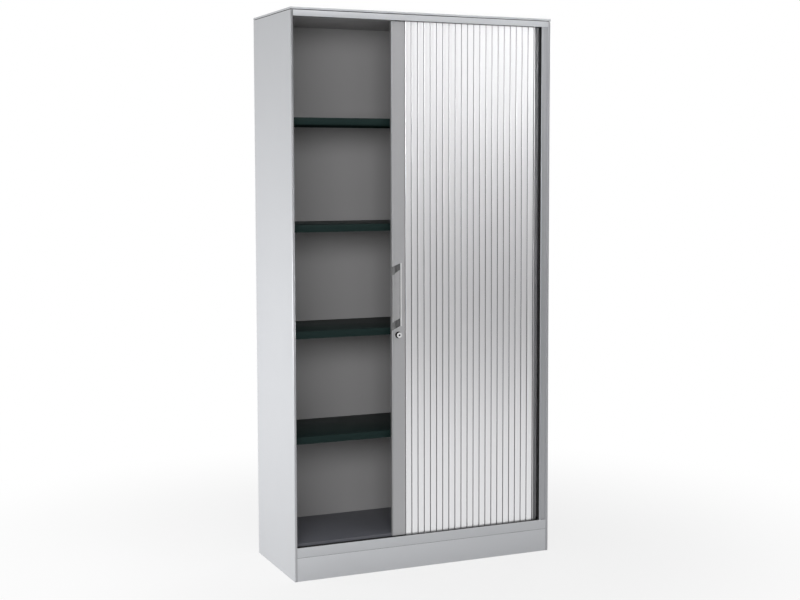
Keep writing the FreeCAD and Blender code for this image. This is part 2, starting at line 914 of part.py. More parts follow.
POST_LEFT = f"({INNER_RIGHT} - dims.post_width)"
STEP_BACK = "(dims.face_reveal + dims.post_step)"
post = prism(
    "post",
    "XY_Plane",
    [
        ("0", "dims.face_reveal"),
        ("dims.post_bead", "dims.face_reveal"),
        ("dims.post_bead + dims.post_step", STEP_BACK),
        ("dims.post_width", STEP_BACK),
        ("dims.post_width", f"{STEP_BACK} + {SHEET}"),
        (f"dims.post_bead + dims.post_step - {SHEET} * {MITRE}", f"{STEP_BACK} + {SHEET}"),
        (f"dims.post_bead - {SHEET} * {MITRE}", f"dims.face_reveal + {SHEET}"),
        (SHEET, f"dims.face_reveal + {SHEET}"),
        (SHEET, "dims.post_return"),
        ("0", "dims.post_return"),
    ],
    f"{TOP_RAIL_LOW} - {BASE_RAIL_TOP}",
)
node("right_front_post", place(post, POST_LEFT, FRONT, BASE_RAIL_TOP))

# ---- curtain: hooked slats, each a bevelled channel section, laid along the tracks' centre line ----

SECTION = {
    "half": number("dims.slat_pitch - dims.slat_gap") / 2,
    "face": number("dims.slat_face") / 2,
    "bevel": number("dims.slat_bevel"),
    "wall": number("dims.slat_wall"),
    "draw": number("dims.slat_leg_draw"),
    "depth": number("dims.slat_thickness"),
}


def slat_solid():
    """One slat standing on Z = 0, its face to -Y and the curtain's centre line through its middle."""
    half, face, wall = SECTION["half"], SECTION["face"], SECTION["wall"]
    front = -SECTION["depth"] / 2
    shoulder = front + SECTION["bevel"]
    foot = half - SECTION["draw"]
    one_side = [
        (face, front),
        (half, shoulder),
        (foot, -front),
        (foot - wall, -front),
        (half - wall, shoulder + wall / 2),
        (face - wall / 2, front + wall),
    ]
    outline = one_side + [(-x, y) for x, y in reversed(one_side)]
    corners = [FreeCAD.Vector(x, y, 0) for x, y in outline]
    face_below = Part.Face(Part.makePolygon(corners + corners[:1]))
    return face_below.extrude(FreeCAD.Vector(0, 0, number(f"{SLAT_HIGH} - {SLAT_LOW}")))


front_run = number(f"{BEND_X} - dims.curtain_start")
bend_run = number("dims.bend_radius") * math.pi / 2
side_run = -2 * number(BEND_Y)
STRETCHES = (
    ("front_slats", front_run),
    ("front_bend_slats", bend_run),
    ("side_slats", side_run),
    ("rear_bend_slats", bend_run),
    ("rear_slats", math.inf),
)


def along_track(travel):
    """(stretch, x, y, turn in degrees) at a distance along the centre line from the lead rail."""
    bend_x, bend_y, radius = number(BEND_X), number(BEND_Y), number("dims.bend_radius")
    for stretch, length in STRETCHES:
        if travel <= length:
            break
        travel -= length
    angle = travel / radius
    if stretch == "front_slats":
        return stretch, bend_x - length + travel, bend_y - radius, 0
    if stretch == "front_bend_slats":
        x, y = bend_x + radius * math.sin(angle), bend_y - radius * math.cos(angle)
        return stretch, x, y, math.degrees(angle)
    if stretch == "side_slats":
        return stretch, bend_x + radius, bend_y + travel, 90
    if stretch == "rear_bend_slats":
        x, y = bend_x + radius * math.cos(angle), -bend_y + radius * math.sin(angle)
        return stretch, x, y, 90 + math.degrees(angle)
    return stretch, bend_x - travel, -bend_y + radius, 180


slats = {stretch: [] for stretch, _ in STRETCHES}
slat = slat_solid()
before_rear_run = front_run + 2 * bend_run + side_run
slat_count = round((before_rear_run + number("dims.curtain_tail")) / number("dims.slat_pitch"))
for index in range(slat_count):
    stretch, x, y, turn = along_track((index + 0.5) * number("dims.slat_pitch"))
    copy = slat.copy()
    copy.Placement = FreeCAD.Placement(
        FreeCAD.Vector(x, y, 0), FreeCAD.Rotation(FreeCAD.Vector(0, 0, 1), turn)
    )
    slats[stretch].append(copy)
for stretch, solids in slats.items():
    if solids:
        feature = doc.addObject("Part::Feature", f"curtain_{stretch}")
        feature.Shape = Part.Compound(solids)
        node(stretch, place(feature, "0", "0", SLAT_LOW))

# ---- lead rail: a box section that draws the curtain, pocketed for the handle and the lock ----

RAIL_RIGHT = "(dims.curtain_start - dims.slat_gap)"
RAIL_LEFT = "(dims.curtain_start - dims.rail_width)"
RAIL_FRONT = f"({FRONT} + dims.curtain_setback - dims.rail_proud)"
RAIL_BACK = f"({RAIL_FRONT} + dims.rail_depth)"
RAIL_LOW = f"({BASE_RAIL_TOP} + dims.rail_end_gap)"
RAIL_HIGH = f"({TOP_RAIL_LOW} - dims.rail_end_gap)"
LOCK_X = "(dims.curtain_start - dims.rail_width + dims.lock_inset)"
LOCK_Z = "dims.lock_height"

GRIP_LEFT = f"({RAIL_LEFT} + dims.grip_inset)"
GRIP_RIGHT = f"({GRIP_LEFT} + dims.grip_width)"
GRIP_LOW_LEFT = f"({LOCK_Z} + dims.grip_above_lock)"
GRIP_LOW_RIGHT = f"({GRIP_LOW_LEFT} + dims.grip_low_slant)"
GRIP_HIGH_LEFT = f"({GRIP_LOW_LEFT} + dims.grip_length)"
GRIP_HIGH_RIGHT = f"({GRIP_HIGH_LEFT} + dims.grip_high_slant)"


def grip_outline(inset):
    """The handle's slanted outline, drawn in by a wall's thickness."""
    left, right = inset, f"dims.grip_width - ({inset})"
    return [
        (left, f"{GRIP_LOW_LEFT} + {inset}"),
        (right, f"{GRIP_LOW_RIGHT} + {inset}"),
        (right, f"{GRIP_HIGH_RIGHT} - ({inset})"),
        (left, f"{GRIP_HIGH_LEFT} - ({inset})"),
    ]


rail_bar = box("rail_bar", (RAIL_LEFT, RAIL_RIGHT), (RAIL_FRONT, RAIL_BACK), (RAIL_LOW, RAIL_HIGH))
rail_bore = box(
    "rail_bore",
    (f"{RAIL_LEFT} + dims.rail_wall", f"{RAIL_RIGHT} - dims.rail_wall"),
    (f"{RAIL_FRONT} + dims.rail_wall", f"{RAIL_BACK} - dims.rail_wall"),
    (f"{RAIL_LOW} - {PAST}", f"{RAIL_HIGH} + {PAST}"),
)
grip_cut = place(
    prism("grip_cut", "XZ_Plane", grip_outline("0"), "dims.grip_depth", backwards=True),
    GRIP_LEFT,
    RAIL_FRONT,
    "0",
)
lock_hole_front = level_rod(
    "lock_hole_front",
    LOCK_X,
    (f"{RAIL_FRONT} - {PAST}", f"{RAIL_FRONT} + dims.rail_depth / 2"),
    LOCK_Z,
    "dims.lock_hole / 2",
)
lock_hole_back = level_rod(
    "lock_hole_back",
    LOCK_X,
    (f"{RAIL_FRONT} + dims.rail_depth / 2", f"{RAIL_BACK} + {PAST}"),
    LOCK_Z,
    "dims.lock_barrel / 2 + dims.plug_play",
)
rail_cuts = fuse("rail_cuts", [rail_bore, grip_cut, lock_hole_front, lock_hole_back])
node("lead_rail", cut("rail", rail_bar, rail_cuts))

GLIDE_HALF = "(dims.track_channel / 2 - dims.glide_play)"
glide_x = (
    f"{RAIL_LEFT} + dims.glide_inset",
    f"{RAIL_LEFT} + dims.glide_inset + dims.glide_width",
)
glide_y = (f"{CURTAIN_Y} - {GLIDE_HALF}", f"{CURTAIN_Y} + {GLIDE_HALF}")
node(
    "lead_rail_glides",
    group(
        "glides",
        [
            box("lower_glide", glide_x, glide_y, (SLAT_LOW, f"{RAIL_LOW} + dims.glide_seat")),
            box("upper_glide", glide_x, glide_y, (f"{RAIL_HIGH} - dims.glide_seat", SLAT_HIGH)),
        ],
    ),
)

# ---- handle: a trough set into the rail, with a rib on its right and a grip bar across it ----

grip_shell = prism("grip_shell", "XZ_Plane", grip_outline("0"), "dims.grip_depth", backwards=True)
grip_inside = prism(
    "grip_inside",
    "XZ_Plane",
    grip_outline("dims.grip_wall"),
    "dims.grip_depth - dims.grip_wall",
    backwards=True,
)
for half in (grip_shell, grip_inside):
    place(half, GRIP_LEFT, RAIL_FRONT, "0")
grip_trough = cut("grip_trough", grip_shell, grip_inside)
grip_rib = box(
    "grip_rib",
    (f"{GRIP_RIGHT} - dims.grip_wall", f"{GRIP_RIGHT} + dims.grip_rib_width"),
    (f"{RAIL_FRONT} - dims.grip_rib_proud", RAIL_FRONT),
    (GRIP_LOW_RIGHT, GRIP_HIGH_RIGHT),
)
node("handle_recess", fuse("handle_recess_solid", [grip_trough, grip_rib]))
bar_right = "dims.grip_width - dims.grip_wall"
bar = prism(
    "grip_bar",
    "XZ_Plane",
    [
        ("dims.grip_wall", f"{GRIP_LOW_LEFT} + dims.low_window_left"),
        (bar_right, f"{GRIP_LOW_RIGHT} + dims.low_window_right"),
        (bar_right, f"{GRIP_HIGH_RIGHT} - dims.high_window_right"),
        ("dims.grip_wall", f"{GRIP_HIGH_LEFT} - dims.high_window_left"),
    ],
    "dims.bar_thickness",
    backwards=True,
)
node("handle_grip", place(bar, GRIP_LEFT, RAIL_FRONT, "0"))

# ---- lock: barrel and ring nut in the rail, turning plug with keyhole, cam and its screw ----

BARREL_FRONT = f"({RAIL_FRONT} - dims.lock_proud)"
BARREL_BACK = f"({RAIL_FRONT} + dims.lock_barrel_length)"
WALL_BACK = f"({RAIL_FRONT} + dims.rail_wall)"
barrel = fuse(
    "lock_barrel_solid",
    [
        level_rod("lock_barrel_rod", LOCK_X, (BARREL_FRONT, BARREL_BACK), LOCK_Z, "dims.lock_barrel / 2"),
        level_rod(
            "lock_barrel_collar",
            LOCK_X,
            (WALL_BACK, f"{WALL_BACK} + dims.lock_collar_length"),
            LOCK_Z,
            "dims.lock_collar / 2",
        ),
    ],
)
plug_bore = level_rod(
    "plug_bore",
    LOCK_X,
    (f"{BARREL_FRONT} - {PAST}", f"{BARREL_BACK} + {PAST}"),
    LOCK_Z,
    "dims.plug_diameter / 2 + dims.plug_play",
)
node("lock_barrel", cut("lock_barrel_bored", barrel, plug_bore))
nut_span = (RAIL_BACK, f"{RAIL_BACK} + dims.lock_nut_length")
node(
    "lock_ring_nut",
    cut(
        "ring_nut",
        level_rod("ring_nut_disc", LOCK_X, nut_span, LOCK_Z, "dims.lock_collar / 2"),
        level_rod("ring_nut_bore", LOCK_X, nut_span, LOCK_Z, "dims.lock_barrel / 2"),
    ),
)
PLUG_BACK = f"({BARREL_BACK} + dims.plug_tail)"
plug_rod = level_rod("plug_rod", LOCK_X, (BARREL_FRONT, PLUG_BACK), LOCK_Z, "dims.plug_diameter / 2")
keyhole = box(
    "keyhole",
    (f"{LOCK_X} - dims.keyhole_width / 2", f"{LOCK_X} + dims.keyhole_width / 2"),
    (f"{BARREL_FRONT} - {PAST}", f"{BARREL_FRONT} + dims.keyhole_depth"),
    (f"{LOCK_Z} - dims.keyhole_height / 2", f"{LOCK_Z} + dims.keyhole_height / 2"),
)
node("lock_plug", cut("plug", plug_rod, keyhole))
CAM_BACK = f"({PLUG_BACK} + dims.cam_sheet)"
node(
    "lock_cam",
    fuse(
        "cam",
        [
            level_rod("cam_eye", LOCK_X, (PLUG_BACK, CAM_BACK), LOCK_Z, "dims.cam_eye / 2"),
            box(
                "cam_arm",
                (f"{LOCK_X} - dims.cam_width / 2", f"{LOCK_X} + dims.cam_width / 2"),
                (PLUG_BACK, CAM_BACK),
                (f"{LOCK_Z} - dims.cam_length", LOCK_Z),
            ),
        ],
    ),
)
node(
    "lock_cam_screw",
    level_rod(
        "cam_screw",
        LOCK_X,
        (CAM_BACK, f"{CAM_BACK} + dims.cam_screw_length"),
        LOCK_Z,
        "dims.cam_screw_head / 2",
    ),
)

# ---- strike plate for the cam and rubber buffers for the rail, on the left side's lip ----

STRIKE_BACK = f"({FRONT} + {SHEET} + dims.strike_reach)"
strike_sheet = box(
    "strike_sheet",
    (INNER_LEFT, f"{INNER_LEFT} + dims.strike_sheet"),
    (f"{FRONT} + {SHEET} + dims.strike_sheet", STRIKE_BACK),
    (f"{LOCK_Z} - dims.strike_height / 2", f"{LOCK_Z} + dims.strike_height / 2"),
)
CAM_MIDDLE = f"({PLUG_BACK} + dims.cam_sheet / 2)"
strike_slot = box(
    "strike_slot",
    (f"{INNER_LEFT} - {PAST}", f"{INNER_LEFT} + dims.strike_sheet + {PAST}"),
    (f"{CAM_MIDDLE} - dims.strike_slot_depth / 2", f"{CAM_MIDDLE} + dims.strike_slot_depth / 2"),
    (f"{LOCK_Z} - dims.strike_slot_low", f"{LOCK_Z} + dims.strike_slot_high"),
)
node("strike_plate", cut("strike", strike_sheet, strike_slot))
node(
    "closing_buffers",
    group(
        "buffers",
        [
            box(
                f"buffer_{place_name}",
                (INNER_LEFT, f"{INNER_LEFT} + dims.buffer_thickness"),
                (RAIL_FRONT, f"{RAIL_FRONT} + dims.buffer_width"),
                (height, f"{height} + dims.buffer_height"),
            )
            for place_name, height in (("low", "dims.buffer_low"), ("high", "dims.buffer_high"))
        ],
    ),
)

# ---- fasteners: rivets through the rear returns, screws up through the side flanges ----

rivets = []
for index in range(int(number("dims.rivet_count"))):
    step = f"({SIDE_TOP} - 2 * dims.rivet_margin) / (dims.rivet_count - 1)"
    height = f"dims.rivet_margin + {index} * {step}"
    for side in ("left", "right"):
        x = inward(side, "dims.rear_return / 2", "dims.rear_return / 2")[0]
        rivet = level_rod(f"rivet_{side}_{index}", x, (BACK, LID_BACK), height, "dims.rivet_diameter / 2")
        rivets.append(rivet)
node("rear_panel_rivets", group("rivets", rivets))

lid_screws = []
for end_sign in ("-", ""):
    for side in ("left", "right"):
        x = inward(side, "dims.lid_screw_inset", "dims.lid_screw_inset")[0]
        y = f"{end_sign}({BACK} - dims.foot_end_inset)"
        span = (f"{SIDE_TOP} - {SHEET} - dims.lid_screw_length", f"{SIDE_TOP} - {SHEET}")
        lid_screws.append(
            upright_rod(f"lid_screw_{len(lid_screws)}", x, y, span, "dims.lid_screw_head / 2")
        )
node("lid_screws", group("lid_screw_group", lid_screws))

# ---- check every object, then write one STEP file for each node ----

doc.recompute()
failed = [o.Name for o in doc.Objects if "Invalid" in o.State or "Error" in o.State]
if failed:
    raise RuntimeError(f"these objects failed to build: {failed}")
for solid in nodes:
    if solid.Shape.isNull() or not solid.Shape.isValid() or not solid.Shape.Solids:
        raise RuntimeError(f"{solid.Label} has no valid shape")

os.makedirs("parts", exist_ok=True)
for solid in nodes:
    solid.Shape.exportStep(f"parts/{solid.Label}.step")
    print(solid.Label, len(solid.Shape.Solids), round(solid.Shape.Volume))
print(len(nodes), "nodes")
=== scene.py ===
import bmesh
import bpy
import math
from mathutils import Matrix, Vector
from mathutils.geometry import tessellate_polygon


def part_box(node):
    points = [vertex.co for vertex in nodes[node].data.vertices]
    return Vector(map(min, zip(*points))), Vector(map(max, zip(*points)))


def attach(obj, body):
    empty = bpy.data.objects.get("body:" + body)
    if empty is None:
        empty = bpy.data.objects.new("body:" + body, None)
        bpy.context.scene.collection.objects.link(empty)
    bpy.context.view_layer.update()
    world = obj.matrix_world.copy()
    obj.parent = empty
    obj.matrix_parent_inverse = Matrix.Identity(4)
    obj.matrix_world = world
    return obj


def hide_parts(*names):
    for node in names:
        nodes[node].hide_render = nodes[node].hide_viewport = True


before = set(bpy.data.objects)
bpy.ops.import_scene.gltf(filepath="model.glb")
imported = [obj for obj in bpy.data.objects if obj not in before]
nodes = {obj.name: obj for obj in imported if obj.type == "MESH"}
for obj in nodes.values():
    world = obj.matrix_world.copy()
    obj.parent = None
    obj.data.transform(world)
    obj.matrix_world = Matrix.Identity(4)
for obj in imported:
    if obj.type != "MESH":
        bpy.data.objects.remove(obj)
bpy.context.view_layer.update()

# ---- Side panels ----
# The two outer skins of the carcass: 1 mm sheet steel, folded in at the front, the back and the
# top, and finished in a silver-grey powder coat with fine metal flake. The front folds are rounded
# wide, and the front returns are in a darker coat of the same kind, which is painted shade: it
# stands in for the shade on the rounded returns.

MM = 0.001
WELD_REACH = 0.01 * MM
CLOSE = 0.1 * MM
CREASE = 30
FOLD_ANGLE = 40
COAT_PEEL = 0.004 * MM


def put(tree, kind, inputs=(), **settings):
    """Adds a node to a tree. Inputs are values, or output sockets of other nodes."""
    new = tree.nodes.new(kind)
    for name, value in settings.items():
        setattr(new, name, value)
    for socket, value in dict(inputs).items():
        if isinstance(value, bpy.types.NodeSocket):
            tree.links.new(value, new.inputs[socket])
        else:
            new.inputs[socket].default_value = value
    return new


def finish_of(name, roughness, metallic=0.0):
    """A new material: its node tree, its surface shader and its place coordinates in metres."""
    material = bpy.data.materials.new(name)
    material.use_nodes = True
    tree = material.node_tree
    surface = tree.nodes["Principled BSDF"]
    surface.inputs["Roughness"].default_value = roughness
    surface.inputs["Metallic"].default_value = metallic
    where = put(tree, "ShaderNodeTexCoord").outputs["Object"]
    return material, tree, surface, where


def two_tone(tree, surface, factor, dark, light):
    """Lets the colour wander between two tones with a pattern."""
    mix = put(tree, "ShaderNodeMix", {"Factor": factor}, data_type="RGBA")
    mix.inputs["A"].default_value = (*dark, 1)
    mix.inputs["B"].default_value = (*light, 1)
    tree.links.new(mix.outputs["Result"], surface.inputs["Base Color"])


def wander(tree, surface, socket, factor, low, high):
    """Lets one of the surface's values wander between two limits with a pattern."""
    spread = put(tree, "ShaderNodeMapRange", {"Value": factor, "To Min": low, "To Max": high})
    tree.links.new(spread.outputs["Result"], surface.inputs[socket])


def relief(tree, surface, height, depth):
    """Raises the surface by a pattern, in metres."""
    bump = put(tree, "ShaderNodeBump", {"Height": height, "Distance": depth, "Strength": 1.0})
    tree.links.new(bump.outputs["Normal"], surface.inputs["Normal"])


def powder_coat(name, colour, metallic, roughness, peel):
    """Baked powder coat: flake in the colour, a haze in the gloss, and orange peel."""
    material, tree, surface, where = finish_of(name, roughness, metallic)
    flake = put(tree, "ShaderNodeTexNoise", {"Vector": where, "Scale": 1400.0, "Detail": 2.0})
    dark = tuple(c * 0.93 for c in colour)
    light = tuple(min(c * 1.05, 1.0) for c in colour)
    two_tone(tree, surface, flake.outputs["Fac"], dark, light)
    haze = put(tree, "ShaderNodeTexNoise", {"Vector": where, "Scale": 7.0, "Detail": 4.0})
    wander(tree, surface, "Roughness", haze.outputs["Fac"], roughness - 0.05, roughness + 0.05)
    orange_peel = put(tree, "ShaderNodeTexNoise", {"Vector": where, "Scale": 420.0, "Detail": 1.0})
    relief(tree, surface, orange_peel.outputs["Fac"], peel)
    return material


def weld_corners(node):
    """Joins the points that a node's faces share, so that its edges can be rounded."""
    weld = node.modifiers.new("weld", "WELD")
    weld.merge_threshold = WELD_REACH


def round_folds(node, width):
    """Rounds a node's folds and cut edges."""
    folds = node.modifiers.new("folds", "BEVEL")
    folds.width = width
    folds.segments = 3
    folds.limit_method = "ANGLE"
    folds.angle_limit = math.radians(FOLD_ANGLE)
    return folds


def dress(names, material, fold=0.0):
    """Gives carried-over nodes a finish, and rounds their folds and cut edges."""
    for name in names:
        mesh = nodes[name].data
        mesh.materials.clear()
        mesh.materials.append(material)
        mesh.shade_smooth()
        mesh.set_sharp_from_angle(angle=math.radians(CREASE))
        if fold:
            weld_corners(nodes[name])
            round_folds(nodes[name], fold).harden_normals = True


silver_coat = powder_coat(
    "silver_coat", (0.50, 0.51, 0.53), metallic=0.15, roughness=0.42, peel=COAT_PEEL
)
# The post's darker coat, which is also used as painted shade on the side panels' front returns.
post_coat_and_edge_shade = powder_coat(
    "post_coat_and_edge_shade", (0.34, 0.345, 0.36), metallic=0.35, roughness=0.30, peel=COAT_PEEL
)
SHEET_FOLD = 0.45 * MM
FRONT_FOLD = 6.0 * MM
SHEET = 1.0 * MM
dress(["left_side_panel", "right_side_panel"], silver_coat)
for side, towards in (("left", 1), ("right", -1)):
    panel = nodes[f"{side}_side_panel"]
    low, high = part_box(f"{side}_side_panel")
    outside = Vector((low.x if side == "left" else high.x, low.y))
    inside = outside + Vector((towards * SHEET, SHEET))
    weight = panel.data.attributes.new("bevel_weight_edge", "FLOAT", "EDGE")
    for edge in panel.data.edges:
        a, b = (panel.matrix_world @ panel.data.vertices[k].co for k in edge.vertices)
        for corner, share in ((outside, 1.0), (inside, 1 - SHEET / FRONT_FOLD)):
            if max((a.xy - corner).length, (b.xy - corner).length) < CLOSE / 2:
                weight.data[edge.index].value = share
    # The front return faces take the darker coat as painted shade.
    panel.data.materials.append(post_coat_and_edge_shade)
    for face in panel.data.polygons:
        if (panel.matrix_world @ face.center).y < low.y + CLOSE:
            face.material_index = 1
    weld_corners(panel)
    front_fold = panel.modifiers.new("front_fold", "BEVEL")
    front_fold.width = FRONT_FOLD
    front_fold.segments = 8
    front_fold.limit_method = "WEIGHT"
    front_fold.use_clamp_overlap = False
    round_folds(panel, SHEET_FOLD)
    even_normals = panel.modifiers.new("even_normals", "WEIGHTED_NORMAL")
    even_normals.keep_sharp = True

# ---- Rear panel and its rivets ----
# A flat sheet riveted inside the side panels' rear returns. The rivets are domed zinc-plated
# heads, pressed in from behind.

dress(["rear_panel"], silver_coat, SHEET_FOLD)


def turned_mesh(name, profile, steps=32, hollow=False):
    """A round solid or ring from (radius, height) pairs along its axis, which is local Z."""
    turns = [2 * math.pi * k / steps for k in range(steps)]
    ring = [(math.cos(turn), math.sin(turn)) for turn in turns]
    points = [(radius * c, radius * s, height) for radius, height in profile for c, s in ring]
    faces = []
    for level in range(len(profile) if hollow else len(profile) - 1):
        for k in range(steps):
            across = (k + 1) % steps
            low, high = level * steps, (level + 1) % len(profile) * steps
            faces.append((low + k, low + across, high + across, high + k))
    if not hollow:
        faces.append(tuple(reversed(range(steps))))
        faces.append(tuple(range((len(profile) - 1) * steps, len(profile) * steps)))
    mesh = bpy.data.meshes.new(name)
    mesh.from_pydata(points, [], faces)
    return mesh


def placed(name, mesh, material, body, at=(0, 0, 0), turn=(0, 0, 0), crease=CREASE):
    """Links a mesh as a piece, gives it its finish and lets it ride on a body."""
    mesh.materials.clear()
    mesh.materials.append(material)
    mesh.shade_smooth()
    mesh.set_sharp_from_angle(angle=math.radians(crease))
    piece = bpy.data.objects.new(name, mesh)
    bpy.context.scene.collection.objects.link(piece)
    piece.location = at
    piece.rotation_euler = turn
    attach(piece, body)
    return piece


def joined_mesh(name, parts):
    """One mesh from (mesh, matrix) pairs."""
    points, faces = [], []
    for mesh, matrix in parts:
        first = len(points)
        points += [matrix @ v.co for v in mesh.vertices]
        faces += [tuple(first + i for i in face.vertices) for face in mesh.polygons]
    whole = bpy.data.meshes.new(name)
    whole.from_pydata(points, [], faces)
    return whole


PLATE_GRAIN = 0.003 * MM


def plated_steel(name, colour, roughness, scale):
    """Zinc or chrome plate over steel: faint rolling marks in the gloss and cloudy colour."""
    material, tree, surface, where = finish_of(name, roughness, 1.0)
    cloud = put(tree, "ShaderNodeTexNoise", {"Vector": where, "Scale": scale, "Detail": 5.0})
    dark = tuple(c * 0.86 for c in colour)
    two_tone(tree, surface, cloud.outputs["Fac"], dark, colour)
    wander(tree, surface, "Roughness", cloud.outputs["Fac"], roughness - 0.06, roughness + 0.06)
    grain = put(tree, "ShaderNodeTexNoise", {"Vector": where, "Scale": scale * 9, "Detail": 2.0})
    relief(tree, surface, grain.outputs["Fac"], PLATE_GRAIN)
    return material


zinc_plate = plated_steel("zinc_plate", (0.62, 0.63, 0.64), roughness=0.38, scale=90.0)
rivet_low, rivet_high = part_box("rear_panel_rivets")
RIVET_RADIUS = 3.5 * MM
RIVET_HEAD = rivet_high.y - rivet_low.y
RIVET_ROWS = 7
dome = [
    (RIVET_RADIUS * math.cos(angle), RIVET_HEAD * math.sin(angle))
    for angle in (math.radians(degrees) for degrees in (0, 20, 40, 60, 75))
]
rivet = turned_mesh("rivet", dome, steps=20)
towards_back = Matrix.Rotation(math.radians(-90), 4, "X")
rivet_step = (rivet_high.z - rivet_low.z - 2 * RIVET_RADIUS) / (RIVET_ROWS - 1)
rivets = []
for x in (rivet_low.x + RIVET_RADIUS, rivet_high.x - RIVET_RADIUS):
    for row in range(RIVET_ROWS):
        spot = Vector((x, rivet_low.y, rivet_low.z + RIVET_RADIUS + row * rivet_step))
        rivets.append((rivet, Matrix.Translation(spot) @ towards_back))
rivet_heads = placed("rivet_heads", joined_mesh("rivet_heads", rivets), zinc_plate, "cabinet")
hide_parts("rear_panel_rivets")

# ---- Top panel and front rails ----
# The lid is a folded tray whose neck stands in and is painted black as painted shade, so a dark
# line runs under its lip. The two folded rails close the front over and under the shutter, in the
# carcass coat, and the flanges that they turn to the tracks and to the plinth are painted black as
# painted shade.

dress(["top_panel", "top_front_rail", "bottom_front_rail"], silver_coat, SHEET_FOLD)
dress(["lid_screws"], zinc_plate)


def moulded(name, colour, roughness, grain):
    """Moulded plastic or rubber: fine spark-eroded grain and a slightly uneven gloss."""
    material, tree, surface, where = finish_of(name, roughness)
    texture = put(tree, "ShaderNodeTexNoise", {"Vector": where, "Scale": 1100.0, "Detail": 3.0})
    patch = put(tree, "ShaderNodeTexNoise", {"Vector": where, "Scale": 30.0, "Detail": 2.0})
    dark = tuple(c * 0.9 for c in colour)
    two_tone(tree, surface, patch.outputs["Fac"], dark, tuple(min(c * 1.08, 1.0) for c in colour))
    wander(tree, surface, "Roughness", patch.outputs["Fac"], roughness - 0.06, roughness + 0.06)
    relief(tree, surface, texture.outputs["Fac"], grain)
    return material


def paint_shade_on_faces(name, material, chosen):
    """Paints shade on the chosen faces of a carried-over node, with a second material."""
    mesh = nodes[name].data
    mesh.materials.append(material)
    for face in mesh.polygons:
        if chosen(nodes[name].matrix_world @ face.center, face.normal):
            face.material_index = 1


# A near-black that paints shade in gaps, seams and recesses, where real shade falls.
painted_shade_black = moulded("painted_shade_black", (0.010, 0.010, 0.010), roughness=0.9, grain=0.020 * MM)
painted_shade_black.node_tree.nodes["Principled BSDF"].inputs["Specular IOR Level"].default_value = 0.2
LID_LIP = 7.0 * MM
UPWARD = 0.5
LEVEL = 0.9
gap_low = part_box("left_side_panel")[1].z
gap_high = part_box("top_panel")[1].z - LID_LIP
opening_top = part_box("top_front_rail")[0].z
opening_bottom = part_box("bottom_front_rail")[1].z
rail_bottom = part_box("bottom_front_rail")[0].z
# Painted shade: black on the lid's neck in the gap under its lip, and on the rails' flanges.
paint_shade_on_faces(
    "top_panel", painted_shade_black, lambda at, way: way.z < UPWARD and gap_low < at.z < gap_high + CLOSE
)
paint_shade_on_faces(
    "top_front_rail", painted_shade_black, lambda at, way: way.z < -LEVEL and at.z < opening_top + CLOSE
)
paint_shade_on_faces(
    "bottom_front_rail",
    painted_shade_black,
    lambda at, way: abs(way.z) > LEVEL and not rail_bottom + CLOSE < at.z < opening_bottom - CLOSE,
)

# ---- Plinth and base members ----
# Channels of 1.5 mm steel that stand the cupboard on the floor and carry the levelling feet. They
# are folded with wider rounds than the sheets, in the same coat, and the front one's upper flange,
# under the band over it, is painted black as painted shade, which shows as a thin dark seam.

BASE_FOLD = 0.7 * MM
base_parts = ["plinth_front", "plinth_rear", "base_member_left", "base_member_right"]
dress(base_parts, silver_coat, BASE_FOLD)
plinth_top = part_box("plinth_front")[1].z
# Painted shade: the plinth's upper flange is black, so the seam under the band reads dark.
paint_shade_on_faces(
    "plinth_front", painted_shade_black, lambda at, way: way.z > LEVEL and at.z > plinth_top - CLOSE
)

# ---- Levelling feet ----
# Black moulded pads on zinc-plated M10 spindles, one near each corner of the base. The spindles
# are screwed through nuts that are welded in the base members.

black_plastic = moulded("black_plastic", (0.020, 0.020, 0.022), roughness=0.48, grain=0.010 * MM)
THREAD_PITCH = 1.5 * MM
THREAD_DEPTH = 0.6 * MM
ROWS_A_TURN = 4
NUT_EDGE = 0.6 * MM


def threaded_mesh(name, radius, length, steps=24):
    """A rod whose thread winds round it as a helix of ridges, with its ends closed."""
    rows = int(length / THREAD_PITCH * ROWS_A_TURN)
    points = []
    for row in range(rows + 1):
        for k in range(steps):
            turn = k / steps
            phase = (row / ROWS_A_TURN - turn) % 1.0
            ridge = 1 - abs(2 * phase - 1)
            inside = THREAD_DEPTH * (1 - ridge) if 0 < row < rows else THREAD_DEPTH
            r = radius - inside
            angle = 2 * math.pi * turn
            points.append((r * math.cos(angle), r * math.sin(angle), length * row / rows))
    faces = []
    for row in range(rows):
        for k in range(steps):
            across = (k + 1) % steps
            low, high = row * steps, (row + 1) * steps
            faces.append((low + k, low + across, high + across, high + k))
    faces.append(tuple(reversed(range(steps))))
    faces.append(tuple(range(rows * steps, (rows + 1) * steps)))
    mesh = bpy.data.meshes.new(name)
    mesh.from_pydata(points, [], faces)
    return mesh


for end in ("front", "rear"):
    for side in ("left", "right"):
        foot = f"foot_{end}_{side}"
        low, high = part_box(f"{foot}_pad")
        middle = Vector(((low.x + high.x) / 2, (low.y + high.y) / 2, low.z))
        radius, height = (high.x - low.x) / 2, high.z - low.z
        pad_profile = [
            (radius * 0.94, 0),
            (radius, height * 0.10),
            (radius, height * 0.38),
            (radius * 0.96, height * 0.48),
            (radius * 0.60, height * 0.62),
            (radius * 0.50, height * 0.80),
            (radius * 0.48, height * 0.96),
            (radius * 0.44, height),
        ]
        pad_mesh = turned_mesh(foot, pad_profile)
        pad = placed(f"{foot}_rubbed_pad", pad_mesh, black_plastic, foot, middle)
        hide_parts(f"{foot}_pad")
        low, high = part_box(f"{foot}_spindle")
        base = Vector((middle.x, middle.y, low.z))
        thread = threaded_mesh(f"{foot}_thread", (high.x - low.x) / 2, high.z - low.z)
        spindle = placed(f"{foot}_threaded_rod", thread, zinc_plate, foot, base)
        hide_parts(f"{foot}_spindle")
dress(["foot_nuts"], zinc_plate, NUT_EDGE)

